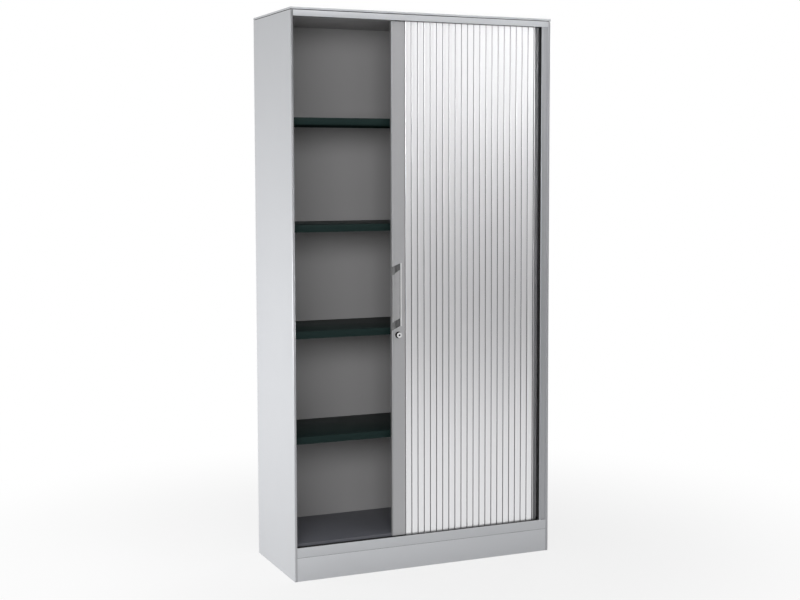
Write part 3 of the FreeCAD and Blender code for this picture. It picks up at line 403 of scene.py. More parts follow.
# ---- Tracks ----
# Two black plastic channels of one plan, one under the curtain and one over it. They guide it
# across the front, round the right side and to the back.

dress(["lower_track", "upper_track"], black_plastic)

# ---- Deck, ceiling and inner walls ----
# Folded trays and liner sheets that make the storage room and hide the curtain's hidden runs. The
# deck is in a dark grey coat, and the ceiling and the walls are in a light grey one.

deck_coat = powder_coat(
    "deck_coat", (0.115, 0.118, 0.135), metallic=0.0, roughness=0.5, peel=COAT_PEEL
)
deck_coat.node_tree.nodes["Principled BSDF"].inputs["Specular IOR Level"].default_value = 0.3
liner_coat = powder_coat(
    "liner_coat", (0.31, 0.306, 0.31), metallic=0.0, roughness=0.42, peel=COAT_PEEL
)
dress(["floor_panel"], deck_coat, SHEET_FOLD)
dress(["ceiling_panel", "inner_side_wall", "inner_rear_wall"], liner_coat)

# ---- Uprights, clips and shelves ----
# Slotted channels stand in pairs, on the left side panel and on the inner side wall. Zinc-plated
# clips are hooked into their slots, four for each shelf, and carry the dark folded shelves.

uprights = [f"upright_{end}_{side}" for end in ("front", "rear") for side in ("left", "right")]
dress(uprights, liner_coat)
dress([f"shelf_clips_{shelf}" for shelf in range(1, 5)], zinc_plate)
shelf_coat = powder_coat(
    "shelf_coat", (0.008, 0.018, 0.017), metallic=0.0, roughness=0.5, peel=COAT_PEEL
)
shelf_coat.node_tree.nodes["Principled BSDF"].inputs["Specular IOR Level"].default_value = 0.08
dress([f"shelf_{shelf}" for shelf in range(1, 5)], shelf_coat, SHEET_FOLD)

# ---- Right front post ----
# A folded strip with a rounded bead along its left edge, which covers the bend of the track at
# the right. It is rolled from 1 mm sheet and painted a shade darker than the carcass, and the leg
# that stands beside the curtain is painted black as painted shade of the gap there.


def arc(centre, radius, start, finish, steps):
    """Points on an arc, with its angles in degrees."""
    return [
        (
            centre[0] + radius * math.cos(math.radians(start + (finish - start) * k / steps)),
            centre[1] + radius * math.sin(math.radians(start + (finish - start) * k / steps)),
        )
        for k in range(steps + 1)
    ]


def upright_prism(name, outline, low, high):
    """A closed prism that stands on an outline, from one height to another."""
    count = len(outline)
    points = [(x, y, z) for z in (low, high) for x, y in outline]
    faces = [(k, (k + 1) % count, count + (k + 1) % count, count + k) for k in range(count)]
    faces.append(tuple(reversed(range(count))))
    faces.append(tuple(range(count, 2 * count)))
    mesh = bpy.data.meshes.new(name)
    mesh.from_pydata(points, [], faces)
    return mesh


post_low, post_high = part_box("right_front_post")
POST_SHEET = 1.0 * MM
BEAD_LEFT = post_low.x + 4.5 * MM
BEAD_RIGHT = BEAD_LEFT + 8.0 * MM
BEAD_ROUND = 2.9 * MM
BEAD_DROP = 3.4 * MM
BEAD_SLOPE = 0.5 * MM
BEAD_FINISH = 350
bead_front, flat_front = post_low.y, post_low.y + BEAD_DROP
inner_round = BEAD_ROUND - POST_SHEET
post_outline = (
    [(BEAD_LEFT, post_high.y)]
    + arc((BEAD_LEFT + BEAD_ROUND, bead_front + BEAD_ROUND), BEAD_ROUND, 180, 270, 6)
    + arc((BEAD_RIGHT - BEAD_ROUND, bead_front + BEAD_ROUND), BEAD_ROUND, 270, BEAD_FINISH, 6)
    + [(BEAD_RIGHT + BEAD_SLOPE, flat_front), (post_high.x, flat_front)]
    + [(post_high.x, flat_front + POST_SHEET), (BEAD_RIGHT - POST_SHEET, flat_front + POST_SHEET)]
    + arc((BEAD_RIGHT - BEAD_ROUND, bead_front + BEAD_ROUND), inner_round, BEAD_FINISH, 270, 6)
    + arc((BEAD_LEFT + BEAD_ROUND, bead_front + BEAD_ROUND), inner_round, 270, 180, 6)
    + [(BEAD_LEFT + POST_SHEET, post_high.y)]
)
post_mesh = upright_prism("beaded_post", post_outline, post_low.z, post_high.z)
post = placed("beaded_post", post_mesh, post_coat_and_edge_shade, "cabinet")
# The leg beside the curtain is painted black as painted shade of the gap.
post_mesh.materials.append(painted_shade_black)
for face in post_mesh.polygons:
    if face.normal.x < -0.7 and face.center.y > bead_front + BEAD_ROUND:
        face.material_index = 1
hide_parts("right_front_post")

# ---- Curtain ----
# Forty plastic slats in silver lacquer. Each has a bead on one edge that snaps into the socket
# of the next, and all of them run in the tracks, pushed along by the lead rail. The beads, sockets
# and side walls are near-black, which paints the shade in the grooves between the slats.


def lacquered(name, colour, roughness):
    """Silver lacquer on an extrusion: flake, and streaks in the gloss along its length."""
    material, tree, surface, where = finish_of(name, roughness, 0.72)
    stretch = put(tree, "ShaderNodeMapping", {"Vector": where, "Scale": (1.0, 1.0, 0.01)})
    streak = put(
        tree,
        "ShaderNodeTexNoise",
        {"Vector": stretch.outputs["Vector"], "Scale": 400.0, "Detail": 2.0},
    )
    two_tone(tree, surface, streak.outputs["Fac"], tuple(c * 0.97 for c in colour), colour)
    wander(tree, surface, "Roughness", streak.outputs["Fac"], roughness - 0.02, roughness + 0.02)
    return material


slat_lacquer = lacquered("slat_lacquer", (0.80, 0.80, 0.815), roughness=0.24)
PLASTIC_GRAIN = 0.006 * MM
hinge_and_groove_shade = moulded("hinge_and_groove_shade", (0.05, 0.05, 0.052), 0.55, PLASTIC_GRAIN)

SLAT_PITCH = 24.5 * MM
SLAT_COUNT = 40
SLAT_DEPTH = 7.5 * MM
FACE_HALF = 9.6 * MM
FACE_CROWN = 0.35 * MM
SHOULDER = 1.3 * MM
SLAT_WALL = 1.0 * MM
BEAD_RADIUS = 1.1 * MM
SOCKET_RADIUS = 1.45 * MM
SOCKET_WALL = 0.9 * MM
SOCKET_MOUTH = 50
SOCKET_ROOT = 125
NECK = 0.45 * MM
JOINT_LINE = 1.4 * MM


def slat_outline():
    """The slat's section, its face to -Y: crowned face, socket at the right, bead at the left."""
    front, back, edge = -SLAT_DEPTH / 2, SLAT_DEPTH / 2, SLAT_PITCH / 2
    face_steps = 8
    face = []
    for k in range(face_steps + 1):
        x = FACE_HALF * (2 * k / face_steps - 1)
        face.append((x, front + FACE_CROWN * (x / FACE_HALF) ** 2))
    side_front = front + FACE_CROWN + SHOULDER
    right_shoulder = arc((FACE_HALF, side_front), SHOULDER, -90, 0, 5)[1:]
    socket = (edge, JOINT_LINE)
    reach = SOCKET_RADIUS + SOCKET_WALL
    socket_outside = arc(socket, reach, 360 - SOCKET_ROOT, 360 - SOCKET_MOUTH, 6)
    socket_inside = arc(socket, SOCKET_RADIUS, 360 - SOCKET_MOUTH, SOCKET_MOUTH, 12)
    socket_below = arc(socket, reach, SOCKET_MOUTH, SOCKET_ROOT, 6)
    foot_right = (FACE_HALF + SHOULDER - SLAT_WALL * 0.5, back)
    foot_inner = (FACE_HALF - SLAT_WALL, back)
    roof_right = (FACE_HALF - SLAT_WALL, front + FACE_CROWN + SLAT_WALL)
    roof_left = (-roof_right[0], roof_right[1])
    bead = (-edge, JOINT_LINE)
    neck_angle = math.degrees(math.asin(NECK / BEAD_RADIUS))
    bead_round = arc(bead, BEAD_RADIUS, neck_angle, 360 - neck_angle, 14)
    left_wall = -FACE_HALF - SHOULDER
    left_shoulder = arc((-FACE_HALF, side_front), SHOULDER, 180, 270, 5)[:-1]
    return (
        face
        + right_shoulder
        + socket_outside
        + socket_inside
        + socket_below
        + [foot_right, foot_inner, roof_right]
        + [roof_left, (-foot_inner[0], back), (-foot_right[0], back)]
        + [(left_wall, JOINT_LINE + NECK)]
        + bead_round
        + [(left_wall, JOINT_LINE - NECK)]
        + left_shoulder
    )


SLAT_NODES = ["front_slats", "front_bend_slats", "side_slats", "rear_bend_slats", "rear_slats"]
front_low, front_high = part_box("front_slats")
side_low, side_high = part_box("side_slats")
CURTAIN_LIFT = 2.5 * MM
SLAT_CREASE = 25
slat_mesh = upright_prism("curtain", slat_outline(), front_low.z + CURTAIN_LIFT, front_high.z)
curtain = placed("curtain", slat_mesh, slat_lacquer, "shutter", crease=SLAT_CREASE)
# The hinge faces take the near-black, as painted shade in the grooves between slats.
slat_mesh.materials.append(hinge_and_groove_shade)
for face in slat_mesh.polygons:
    if face.center.y > -SLAT_DEPTH / 2 + FACE_CROWN + SHOULDER and abs(face.normal.z) < 0.5:
        face.material_index = 1

BEND_RADIUS = 46 * MM
CURTAIN_START = -74.5 * MM
CURTAIN_Y = (front_low.y + front_high.y) / 2
BEND_X = (side_low.x + side_high.x) / 2 - BEND_RADIUS
BEND_Y = CURTAIN_Y + BEND_RADIUS
QUARTER = BEND_RADIUS * math.pi / 2
SIDE_RUN = -2 * BEND_Y

track = bpy.data.node_groups.new("slats_on_the_track", "GeometryNodeTree")
track.interface.new_socket("Geometry", in_out="INPUT", socket_type="NodeSocketGeometry")
track.interface.new_socket("Geometry", in_out="OUTPUT", socket_type="NodeSocketGeometry")
track_input = put(track, "NodeGroupInput")
track_output = put(track, "NodeGroupOutput")


def sum_of(operation, a, b=0.0, c=0.0):
    """A math node in the track's tree."""
    node = put(track, "ShaderNodeMath", operation=operation)
    for socket, value in zip(node.inputs, (a, b, c)):
        if isinstance(value, bpy.types.NodeSocket):
            track.links.new(value, socket)
        else:
            socket.default_value = value
    return node.outputs["Value"]


def between(value, low, high):
    """The value held between two limits."""
    return sum_of("MINIMUM", sum_of("MAXIMUM", value, low), high)


slat_spots = put(track, "GeometryNodePoints", {"Count": SLAT_COUNT})
own_object = put(track, "GeometryNodeSelfObject")
own_place = put(track, "GeometryNodeObjectInfo", {"Object": own_object.outputs[0]})
travel = put(track, "ShaderNodeSeparateXYZ", {"Vector": own_place.outputs["Location"]}).outputs["X"]
slat_number = put(track, "GeometryNodeInputIndex").outputs["Index"]
first_slat = SLAT_PITCH / 2 + CURTAIN_START - BEND_X
from_start = sum_of("MULTIPLY_ADD", slat_number, SLAT_PITCH, first_slat)
along = sum_of("ADD", from_start, travel)
first_bend = between(along, 0.0, QUARTER)
side_stretch = between(sum_of("SUBTRACT", along, QUARTER), 0.0, SIDE_RUN)
second_bend = between(sum_of("SUBTRACT", along, QUARTER + SIDE_RUN), 0.0, QUARTER)
rear_stretch = sum_of("MAXIMUM", sum_of("SUBTRACT", along, 2 * QUARTER + SIDE_RUN), 0.0)
turned_by = sum_of("DIVIDE", sum_of("ADD", first_bend, second_bend), BEND_RADIUS)
straight = sum_of("SUBTRACT", sum_of("MINIMUM", along, 0.0), rear_stretch)
slat_x = sum_of(
    "MULTIPLY_ADD", sum_of("SINE", turned_by), BEND_RADIUS, sum_of("ADD", straight, BEND_X)
)
slat_y = sum_of(
    "MULTIPLY_ADD", sum_of("COSINE", turned_by), -BEND_RADIUS, sum_of("ADD", side_stretch, BEND_Y)
)
slat_place = put(
    track, "ShaderNodeCombineXYZ", {"X": sum_of("SUBTRACT", slat_x, travel), "Y": slat_y}
)
slat_turn = put(track, "ShaderNodeCombineXYZ", {"Z": turned_by})
spots = put(
    track,
    "GeometryNodeSetPosition",
    {"Geometry": slat_spots.outputs[0], "Position": slat_place.outputs["Vector"]},
)
standing = put(
    track,
    "GeometryNodeInstanceOnPoints",
    {
        "Points": spots.outputs["Geometry"],
        "Instance": track_input.outputs["Geometry"],
        "Rotation": slat_turn.outputs["Vector"],
    },
)
whole_curtain = put(
    track, "GeometryNodeRealizeInstances", {"Geometry": standing.outputs["Instances"]}
)
track.links.new(whole_curtain.outputs["Geometry"], track_output.inputs["Geometry"])
curtain.modifiers.new("slats_on_the_track", "NODES").node_group = track
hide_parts(*SLAT_NODES)

# ---- Lead rail and its glides ----
# The anodised aluminium extrusion that leads the curtain: a rounded nose and a fine groove at the
# left, and at the right a lower flange that holds the first slat. Its glides run in the tracks.

rail_anodised = powder_coat(
    "rail_anodised", (0.37, 0.37, 0.38), metallic=0.5, roughness=0.40, peel=0.003 * MM
)
rail_low, rail_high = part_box("lead_rail")
recess_low, recess_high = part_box("handle_recess")
barrel_low, barrel_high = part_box("lock_barrel")
RAIL_WALL = 1.8 * MM
NOSE_ROUND = 1.5 * MM
GROOVE_LEFT = 3.8 * MM
GROOVE_WIDTH = 1.3 * MM
GROOVE_DEPTH = 1.3 * MM
FACE_END = 47.5 * MM
FACE_LEG = 0.4 * MM
EDGE_ROUND = 1.4 * MM
FLANGE_DEPTH = 4.0 * MM
HANDLE_WIDTH = 31.2 * MM
LOW_SLANT = 14.5 * MM
HIGH_SLANT = 12.0 * MM
LOCK_HOLE_RADIUS = 12.0 * MM
GLIDE_EDGE = 0.5 * MM
LOCK_X = (barrel_low.x + barrel_high.x) / 2
LOCK_Z = (barrel_low.z + barrel_high.z) / 2


def ring_points(x, z, radius, steps=40):
    """Points round a circle on the rail's face."""
    turns = [2 * math.pi * k / steps for k in range(steps)]
    return [(x + radius * math.cos(turn), z + radius * math.sin(turn)) for turn in turns]


def upright_plate(name, outline, front, back, holes=()):
    """A plate that faces -Y: an outline of (x, z) points, with holes, between two depths."""
    loops = [outline, *holes]
    flat = [(x, z) for loop in loops for x, z in loop]
    count = len(flat)
    points = [(x, front, z) for x, z in flat] + [(x, back, z) for x, z in flat]
    cap = tessellate_polygon([[Vector((x, z, 0)) for x, z in loop] for loop in loops])
    faces = [tuple(corners) for corners in cap]
    faces += [tuple(count + corner for corner in reversed(corners)) for corners in cap]
    first = 0
    for loop in loops:
        for k in range(len(loop)):
            across = first + (k + 1) % len(loop)
            faces.append((first + k, across, count + across, count + first + k))
        first += len(loop)
    mesh = bpy.data.meshes.new(name)
    mesh.from_pydata(points, [], faces)
    shape = bmesh.new()
    shape.from_mesh(mesh)
    bmesh.ops.recalc_face_normals(shape, faces=shape.faces)
    shape.to_mesh(mesh)
    shape.free()
    return mesh


def opening_low(x):
    """The lower edge of the handle's opening at a place across it."""
    return recess_low.z + LOW_SLANT * (x - recess_low.x) / HANDLE_WIDTH


def opening_high(x):
    """The upper edge of the handle's opening at a place across it."""
    return recess_high.z - HIGH_SLANT * (1 - (x - recess_low.x) / HANDLE_WIDTH)


face_y = rail_low.y
nose = rail_low.x + NOSE_ROUND
face_end = rail_low.x + FACE_END
flange_y = face_y + FLANGE_DEPTH
behind_nose = face_y + NOSE_ROUND
rest_of_section = (
    [(rail_low.x, rail_high.y), (rail_high.x, rail_high.y), (rail_high.x, flange_y)]
    + [(face_end + EDGE_ROUND, flange_y)]
    + arc((face_end, face_y + EDGE_ROUND), EDGE_ROUND, 0, -90, 5)
    + [(face_end, face_y + RAIL_WALL), (face_end - FACE_LEG, face_y + RAIL_WALL)]
    + [(face_end - FACE_LEG, flange_y + RAIL_WALL), (rail_high.x - RAIL_WALL, flange_y + RAIL_WALL)]
    + [(rail_high.x - RAIL_WALL, rail_high.y - RAIL_WALL)]
    + [(rail_low.x + RAIL_WALL, rail_high.y - RAIL_WALL)]
)
nosed = (
    arc((nose, behind_nose), NOSE_ROUND, 270, 180, 5)
    + rest_of_section
    + [(rail_low.x + RAIL_WALL, face_y + RAIL_WALL), (nose, face_y + RAIL_WALL)]
)
cut_back = [(rail_low.x, recess_high.y), *rest_of_section, (rail_low.x + RAIL_WALL, recess_high.y)]
groove_start = rail_low.x + GROOVE_LEFT
groove_end = groove_start + GROOVE_WIDTH
opening_right = recess_low.x + HANDLE_WIDTH
low_cut, high_cut = opening_low(recess_low.x), opening_high(recess_low.x)
rail_parts = [
    upright_prism("rail_walls", nosed, rail_low.z, low_cut),
    upright_prism("rail_walls", cut_back, low_cut, high_cut),
    upright_prism("rail_walls", nosed, high_cut, rail_high.z),
]
for left, right, depth in ((nose, groove_start, 0.0), (groove_start, groove_end, GROOVE_DEPTH)):
    for edges in (
        ((rail_low.z, rail_low.z), (opening_low(left), opening_low(right))),
        ((opening_high(left), opening_high(right)), (rail_high.z, rail_high.z)),
    ):
        (low_left, low_right), (high_left, high_right) = edges
        outline = [(left, low_left), (right, low_right), (right, high_right), (left, high_left)]
        rail_parts.append(upright_plate("rail_edge", outline, face_y + depth, face_y + RAIL_WALL))
face_outline = [
    (groove_end, rail_low.z),
    (face_end, rail_low.z),
    (face_end, rail_high.z),
    (groove_end, rail_high.z),
    (groove_end, opening_high(groove_end)),
    (opening_right, opening_high(opening_right)),
    (opening_right, opening_low(opening_right)),
    (groove_end, opening_low(groove_end)),
]
lock_hole = ring_points(LOCK_X, LOCK_Z, LOCK_HOLE_RADIUS)
rail_parts.append(upright_plate("rail_face", face_outline, face_y, face_y + RAIL_WALL, [lock_hole]))
whole_rail = joined_mesh("rail_extrusion", [(part, Matrix()) for part in rail_parts])
rail = placed("rail_extrusion", whole_rail, rail_anodised, "shutter")
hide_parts("lead_rail")
dress(["lead_rail_glides"], black_plastic, GLIDE_EDGE)

# ---- Handle ----
# Two moulded pieces set into the rail. The recess is a ramp that opens at the rail's left edge and
# is deep at the right, its sunk faces darkened as painted shade, with a rounded rib beside it that
# is lightened as a painted highlight. The grip is dished and bridges it.

handle_plastic = moulded("handle_plastic", (0.31, 0.31, 0.315), 0.32, PLASTIC_GRAIN)
# The rib's lighter plastic is a painted highlight.
recess_shade_plastic = moulded("recess_shade_plastic", (0.13, 0.13, 0.132), 0.5, PLASTIC_GRAIN)
rib_highlight_plastic = moulded("rib_highlight_plastic", (0.60, 0.60, 0.605), 0.30, PLASTIC_GRAIN)
SOFT_CREASE = 50
RAMP_SHALLOW = 1.2 * MM
RAMP_DEEP = 10.4 * MM
RAMP_START, RAMP_RUN = 0.3, 0.5
SHELL_WALL = 1.2 * MM
LIP_WIDTH = 0.9 * MM
LIP_PROUD = 0.35 * MM
WALL_RUN = 1.6 * MM
SHADE_FROM = 0.2 * MM
RIB_WIDTH = 4.4 * MM
RIB_PROUD = 1.0 * MM
RIB_SUNK = 0.3 * MM
RIB_BACK = 1.2 * MM
RIB_END = 5.0 * MM
RIB_STEPS = 12
grip_low, grip_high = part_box("handle_grip")
GRIP_DISH = 1.7 * MM
GRIP_WALL = 1.2 * MM
GRIP_ROUND = 2.4 * MM
GRIP_FALL = 0.9 * MM
GRIP_LOW_SLANT = 14.5 * MM
GRIP_HIGH_SLANT = 19.0 * MM


def eased(value):
    """Zero below 0, one above 1, and a smooth step between."""
    value = min(max(value, 0.0), 1.0)
    return value * value * (3 - 2 * value)


def skin_solid(name, front, back):
    """A closed solid between two grids of points, which have the same rows and columns."""
    rows, columns = len(front), len(front[0])
    points = [point for grid in (front, back) for row in grid for point in row]
    behind = rows * columns
    faces = []
    for r in range(rows - 1):
        for c in range(columns - 1):
            a, b = r * columns + c, (r + 1) * columns + c
            faces.append((a, a + 1, b + 1, b))
            faces.append((behind + a, behind + b, behind + b + 1, behind + a + 1))
    border = [c for c in range(columns)] + [r * columns + columns - 1 for r in range(1, rows)]
    border += [(rows - 1) * columns + c for c in range(columns - 2, -1, -1)]
    border += [r * columns for r in range(rows - 2, 0, -1)]
    for here, ahead in zip(border, border[1:] + border[:1]):
        faces.append((here, behind + here, behind + ahead, ahead))
    mesh = bpy.data.meshes.new(name)
    mesh.from_pydata(points, [], faces)
    return mesh


def stations(length, ends, steps):
    """Places from 0 to a length: close together at both ends, even between."""
    inner = [ends[-1] + (length - 2 * ends[-1]) * k / steps for k in range(1, steps)]
    return [0.0, *ends, *inner, *[length - end for end in reversed(ends)], length]


ramp_front, ramp_back = [], []
lip_steps = (LIP_WIDTH / 3, LIP_WIDTH, *(LIP_WIDTH + WALL_RUN * k / 3 for k in (1, 2, 3)))
for across in stations(HANDLE_WIDTH, lip_steps, steps=12):
    x = recess_low.x + across - (recess_low.x - rail_low.x) * (1 - across / HANDLE_WIDTH)
    low, high = opening_low(x), opening_high(x)
    deepening = eased((across / HANDLE_WIDTH - RAMP_START) / RAMP_RUN)
    ramp = RAMP_SHALLOW + (RAMP_DEEP - RAMP_SHALLOW) * deepening
    front_row, back_row = [], []
    for up in stations(high - low, lip_steps, steps=20):
        inside = min(HANDLE_WIDTH - across, up, high - low - up)
        lip = LIP_PROUD * eased(inside / lip_steps[0])
        depth = (ramp + LIP_PROUD) * eased((inside - LIP_WIDTH) / WALL_RUN) - lip
        front_row.append((x, face_y + depth, low + up))
        back_row.append((x, face_y + max(depth, 0.0) + SHELL_WALL, low + up))
    ramp_front.append(front_row)
    ramp_back.append(back_row)
rib_front, rib_back = [], []
rib_left, rib_right = recess_high.x - RIB_WIDTH, recess_high.x
rib_half = (rib_right - rib_left) / 2
rib_low = opening_low(opening_right)
rib_length = recess_high.z - rib_low
rib_turns = [math.pi * k / RIB_STEPS for k in range(RIB_STEPS + 1)]
rib_arch = [(rib_left + rib_half * (1 - math.cos(turn)), math.sin(turn)) for turn in rib_turns]
for up in stations(rib_length, (RIB_END / 5, RIB_END / 2, RIB_END), steps=8):
    rise = RIB_SUNK + RIB_PROUD * eased(min(up, rib_length - up) / RIB_END)
    z = rib_low + up
    rib_front.append([(x, face_y + RIB_SUNK - rise * height, z) for x, height in rib_arch])
    rib_back.append([(x, face_y + RIB_BACK, z) for x, height in rib_arch])
shell_mesh = joined_mesh(
    "handle_shell",
    [
        (skin_solid("ramp", ramp_front, ramp_back), Matrix()),
        (skin_solid("rib", rib_front, rib_back), Matrix()),
    ],
)
shell = placed("handle_shell", shell_mesh, handle_plastic, "shutter", crease=SOFT_CREASE)
# Faces over the rib take the light plastic as painted highlight; faces sunk in the recess take the
# dark one as painted shade.
shell_mesh.materials.append(recess_shade_plastic)
shell_mesh.materials.append(rib_highlight_plastic)
for face in shell_mesh.polygons:
    if face.center.x > rib_left:
        face.material_index = 2
    elif face.center.y > face_y + SHADE_FROM:
        face.material_index = 1
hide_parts("handle_recess")

grip_width = grip_high.x - grip_low.x
grip_front, grip_back = [], []
side_steps = (0.5 * MM, GRIP_ROUND / 2)
end_steps = (0.4 * MM, GRIP_ROUND / 2, GRIP_ROUND)
for across in stations(grip_width, side_steps, steps=14):
    x, share = grip_low.x + across, across / grip_width
    low = grip_low.z + GRIP_LOW_SLANT * share
    high = grip_high.z - GRIP_HIGH_SLANT * (1 - share)
    dish = GRIP_DISH * math.sin(math.pi * share)
    front_row, back_row = [], []
    for up in stations(high - low, end_steps, steps=20):
        edge = min(up, high - low - up, across * 2, (grip_width - across) * 2) / GRIP_ROUND
        fall = GRIP_FALL * (1 - math.sqrt(1 - (1 - min(edge, 1.0)) ** 2))
        front_row.append((x, grip_low.y + dish + fall, low + up))
        back_row.append((x, grip_low.y + dish + GRIP_WALL, low + up))
    grip_front.append(front_row)
    grip_back.append(back_row)
grip_mesh = skin_solid("dished_grip", grip_front, grip_back)
grip = placed("dished_grip", grip_mesh, handle_plastic, "shutter", crease=SOFT_CREASE)
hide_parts("handle_grip")

# ---- Lock ----
# A barrel that stands well out of the rail, with a chromed rim and its side and collar painted
# black as painted shade, and in it a turning chromed plug whose round key mouth and keyway are
# painted black as painted shade. Behind are the ring nut, cam and cam screw.

chrome = plated_steel("chrome", (0.95, 0.95, 0.96), roughness=0.16, scale=60.0)
chrome.node_tree.nodes["Principled BSDF"].inputs["Metallic"].default_value = 0.5
TOWARDS_FRONT = (math.radians(90), 0, 0)
COLLAR_FRONT = 1.8 * MM
COLLAR_BACK = 3.8 * MM
BARREL_RADIUS = 9.5 * MM
RIM_ROUND = 0.9 * MM
RIM_SHOULDER = 0.25 * MM
RIM_CHAMFER = 0.5 * MM
PLUG_RADIUS = 7.0 * MM
PLUG_PLAY = 0.12 * MM
PLUG_SUNK = 0.3 * MM
PLUG_MOUTH = 3.5 * MM
KEYWAY_HALF_WIDTH = 0.7 * MM
KEYWAY_REACH = 4.4 * MM
KEYWAY_DEPTH = 6.0 * MM
KEYWAY_CLEAR = 0.5 * MM
FITTING_EDGE = 0.3 * MM
collar_radius = (barrel_high.x - barrel_low.x) / 2
lock_proud = face_y - barrel_low.y
barrel_length = barrel_high.y - face_y
bore = PLUG_RADIUS + PLUG_PLAY
barrel_profile = [
    (bore, -barrel_length),
    (bore, lock_proud - RIM_CHAMFER),
    (bore + RIM_CHAMFER, lock_proud),
    (BARREL_RADIUS - RIM_ROUND, lock_proud),
    (BARREL_RADIUS - RIM_SHOULDER, lock_proud - RIM_ROUND / 3),
    (BARREL_RADIUS, lock_proud - RIM_ROUND),
    (BARREL_RADIUS, -COLLAR_FRONT),
    (collar_radius, -COLLAR_FRONT),
    (collar_radius, -COLLAR_BACK),
    (BARREL_RADIUS, -COLLAR_BACK),
    (BARREL_RADIUS, -barrel_length),
]
lock_face = Vector((LOCK_X, face_y, LOCK_Z))
barrel_mesh = turned_mesh("barrel", barrel_profile, steps=48, hollow=True)
barrel = placed("lock_housing", barrel_mesh, chrome, "shutter", lock_face, TOWARDS_FRONT)
# The barrel's side and collar are painted black as painted shade.
barrel_mesh.materials.append(painted_shade_black)
for face in barrel_mesh.polygons:
    if face.center.xy.length > BARREL_RADIUS - CLOSE:
        face.material_index = 1
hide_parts("lock_barrel")
plug_low, plug_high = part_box("lock_plug")
plug_front = plug_low.y + PLUG_SUNK
meet = math.degrees(math.asin(KEYWAY_HALF_WIDTH / PLUG_MOUTH))
keyway_left, keyway_right = LOCK_X - KEYWAY_HALF_WIDTH, LOCK_X + KEYWAY_HALF_WIDTH
key_mouth = (
    [(keyway_right, LOCK_Z + KEYWAY_REACH), (keyway_left, LOCK_Z + KEYWAY_REACH)]
    + arc((LOCK_X, LOCK_Z), PLUG_MOUTH, 90 + meet, 270 - meet, 12)
    + [(keyway_left, LOCK_Z - KEYWAY_REACH), (keyway_right, LOCK_Z - KEYWAY_REACH)]
    + arc((LOCK_X, LOCK_Z), PLUG_MOUTH, -90 + meet, 90 - meet, 12)
)
plug_face = ring_points(LOCK_X, LOCK_Z, PLUG_RADIUS, 48)
mouth_back = plug_front + KEYWAY_DEPTH
plug_parts = [
    (upright_plate("plug_face", plug_face, plug_front, mouth_back, [key_mouth]), Matrix()),
    (upright_plate("plug_tail", plug_face, mouth_back, plug_high.y), Matrix()),
]
plug_mesh = joined_mesh("plug", plug_parts)
plug = placed("keyed_plug", plug_mesh, chrome, "lock")
# The faces inside the key mouth are painted black as painted shade.
plug_mesh.materials.append(painted_shade_black)
for face in plug_mesh.polygons:
    from_axis = math.hypot(face.center.x - LOCK_X, face.center.z - LOCK_Z)
    if face.center.y > plug_front + CLOSE and from_axis < PLUG_RADIUS - KEYWAY_CLEAR:
        face.material_index = 1
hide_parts("lock_plug")
dress(["lock_ring_nut", "lock_cam", "lock_cam_screw"], zinc_plate, FITTING_EDGE)

# ---- Strike plate and buffers ----
# A zinc-plated plate with the slot that the cam turns into, on the lip of the left side panel, and
# two matt rubber strips, one over it and one under it, that the rail closes against.

rubber = moulded("rubber", (0.018, 0.018, 0.018), roughness=0.7, grain=0.015 * MM)
BUFFER_EDGE = 0.5 * MM
dress(["strike_plate"], zinc_plate, FITTING_EDGE)
dress(["closing_buffers"], rubber, BUFFER_EDGE)

# ---- Studio ----
# A white floor without an edge, and a white sky that is darker to the right, which the lacquered
# slats mirror. The key and front lamps stand at the left front, and the others light the left
# side, the top of the front from the right, and the back.


def smooth_ramp(tree, value, marks, strengths):
    """A smooth change from one strength to another while a measure passes between two marks."""
    limits = zip(("From Min", "From Max", "To Min", "To Max"), (*marks, *strengths))
    measures = {"Value": value, **dict(limits)}
    ramp = put(tree, "ShaderNodeMapRange", measures, interpolation_type="SMOOTHSTEP")
    return ramp.outputs["Result"]


def white_share(tree, straight, mirrored):
    """How far plain white is shown to straight rays and to mirrored rays; no other ray sees it."""
    ray = put(tree, "ShaderNodeLightPath").outputs
    sight = {0: ray["Is Camera Ray"], 1: ray["Is Transmission Ray"]}
    seen = put(tree, "ShaderNodeMath", sight, operation="ADD").outputs[0]
    direct = put(tree, "ShaderNodeMath", {0: seen, 1: straight}, operation="MULTIPLY").outputs[0]
    shares = {0: ray["Is Glossy Ray"], 1: mirrored, 2: direct}
    return put(tree, "ShaderNodeMath", shares, operation="MULTIPLY_ADD").outputs[0]


FLOOR_HALF = 30.0
floor_mesh = bpy.data.meshes.new("studio_floor")
floor_mesh.from_pydata(
    [(x, y, 0) for x, y in ((-1, -1), (1, -1), (1, 1), (-1, 1))], [], [(0, 1, 2, 3)]
)
floor_mesh.transform(Matrix.Scale(FLOOR_HALF, 4))
studio_floor = bpy.data.objects.new("studio_floor", floor_mesh)
bpy.context.scene.collection.objects.link(studio_floor)
floor_paint = bpy.data.materials.new("floor_paint")
floor_paint.use_nodes = True
tree = floor_paint.node_tree
tree.nodes.clear()
matt = put(tree, "ShaderNodeBsdfDiffuse", {"Color": (0.6, 0.6, 0.6, 1)})
glow = put(tree, "ShaderNodeEmission", {"Color": (1, 1, 1, 1), "Strength": 1.0})
floor_place = put(tree, "ShaderNodeTexCoord").outputs["Object"]
length = put(tree, "ShaderNodeVectorMath", {0: floor_place}, operation="LENGTH")
from_middle = length.outputs["Value"]
shown = smooth_ramp(tree, from_middle, marks=(0.6, 2.2), strengths=(0.8, 1.0))
mirrored = smooth_ramp(tree, from_middle, marks=(1.5, 8.0), strengths=(1.0, 0.05))
share = white_share(tree, shown, mirrored)
mixed = put(tree, "ShaderNodeMixShader", {0: share, 1: matt.outputs[0], 2: glow.outputs[0]})
put(tree, "ShaderNodeOutputMaterial", {"Surface": mixed.outputs[0]})
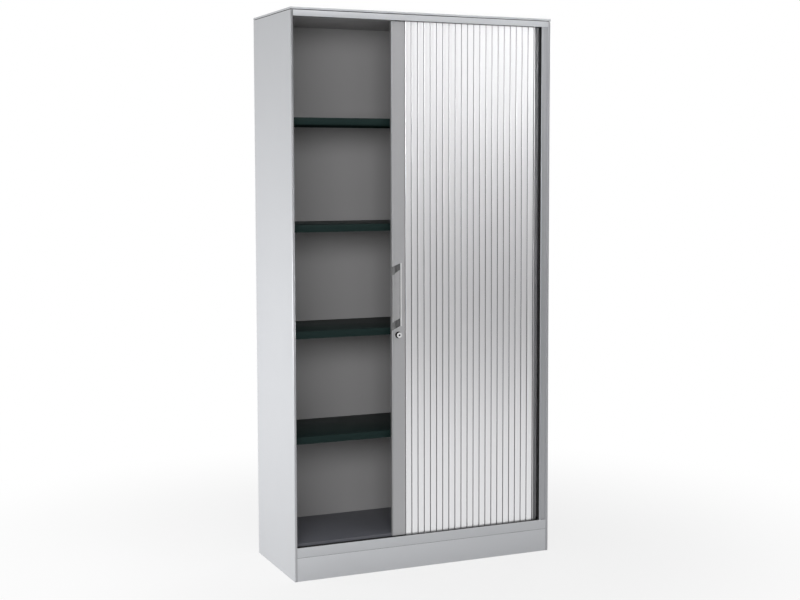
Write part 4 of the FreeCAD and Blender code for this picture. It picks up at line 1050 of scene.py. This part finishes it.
floor_mesh.materials.append(floor_paint)

SKY = 0.4
world = bpy.data.worlds.new("studio")
bpy.context.scene.world = world
world.use_nodes = True
tree = world.node_tree
tree.nodes.clear()
direction = put(tree, "ShaderNodeTexCoord").outputs["Generated"]
compass = put(tree, "ShaderNodeSeparateXYZ", {"Vector": direction}).outputs
rise = smooth_ramp(tree, compass["Z"], marks=(-0.06, 0.03), strengths=(0.4, 1.0))
shade = smooth_ramp(tree, compass["X"], marks=(0.35, 0.95), strengths=(1.0, 0.55))
mirrored = put(tree, "ShaderNodeMath", {0: rise, 1: shade}, operation="MULTIPLY").outputs[0]
strength = smooth_ramp(tree, compass["X"], marks=(0.1, 0.9), strengths=(SKY, SKY * 0.4))
sky = put(tree, "ShaderNodeBackground", {"Color": (1, 1, 1, 1), "Strength": strength})
backdrop = put(tree, "ShaderNodeBackground", {"Color": (1, 1, 1, 1), "Strength": 1.0})
share = white_share(tree, 1.0, mirrored)
mixed = put(tree, "ShaderNodeMixShader", {0: share, 1: sky.outputs[0], 2: backdrop.outputs[0]})
put(tree, "ShaderNodeOutputWorld", {"Surface": mixed.outputs[0]})


def soft_lamp(name, at, target, size, watts, spread=180):
    """A rectangular soft box that points at a spot and isn't seen itself."""
    data = bpy.data.lights.new(name, "AREA")
    data.shape = "RECTANGLE"
    data.size, data.size_y = size
    data.energy = watts
    data.spread = math.radians(spread)
    lamp = bpy.data.objects.new(name, data)
    bpy.context.scene.collection.objects.link(lamp)
    lamp.location = at
    lamp.rotation_euler = (Vector(target) - Vector(at)).to_track_quat("-Z", "Y").to_euler()
    lamp.visible_camera = False


MIDDLE = (0.0, 0.0, 1.0)
TOP_RIGHT = (0.42, -0.2, 1.97)
soft_lamp("key_lamp", (-3.3, -4.6, 1.8), MIDDLE, (1.6, 1.6), watts=84)
soft_lamp("front_lamp", (-1.7, -4.8, 2.3), (0.25, 0.0, 0.9), (1.5, 1.5), watts=66)
soft_lamp("top_lamp", (3.4, -4.6, 2.5), (0.1, -0.2, 1.6), (2.2, 1.5), watts=8)
soft_lamp("high_lamp", (1.5, -3.2, 4.6), TOP_RIGHT, (0.6, 0.6), watts=2.0, spread=32)
soft_lamp("side_lamp", (-1.7, 0.2, 0.85), (-0.5, 0.1, 0.85), (1.2, 0.6), watts=16)
soft_lamp("rear_lamp", (3.4, 3.4, 2.2), MIDDLE, (1.6, 1.6), watts=60)

# ---- Camera ----
# Stands to the left of the cupboard at chest height and looks slightly down, through a long lens
# with a small shift that frames the whole of it.

CAMERA_AT = (-2.040, -4.791, 1.446)
CAMERA_PITCH = -4.561
CAMERA_YAW = 24.568
LENS = 63.47
SENSOR = 36.0
SHIFT_X, SHIFT_Y = -0.05, -0.0275
camera_data = bpy.data.cameras.new("camera")
camera_data.sensor_width = SENSOR
camera_data.lens = LENS
camera_data.shift_x = SHIFT_X
camera_data.shift_y = SHIFT_Y
camera = bpy.data.objects.new("camera", camera_data)
bpy.context.scene.collection.objects.link(camera)
camera.location = CAMERA_AT
camera.rotation_euler = (math.radians(90 + CAMERA_PITCH), 0, math.radians(-CAMERA_YAW))
bpy.context.scene.camera = camera
bpy.context.scene.view_settings.view_transform = "Standard"
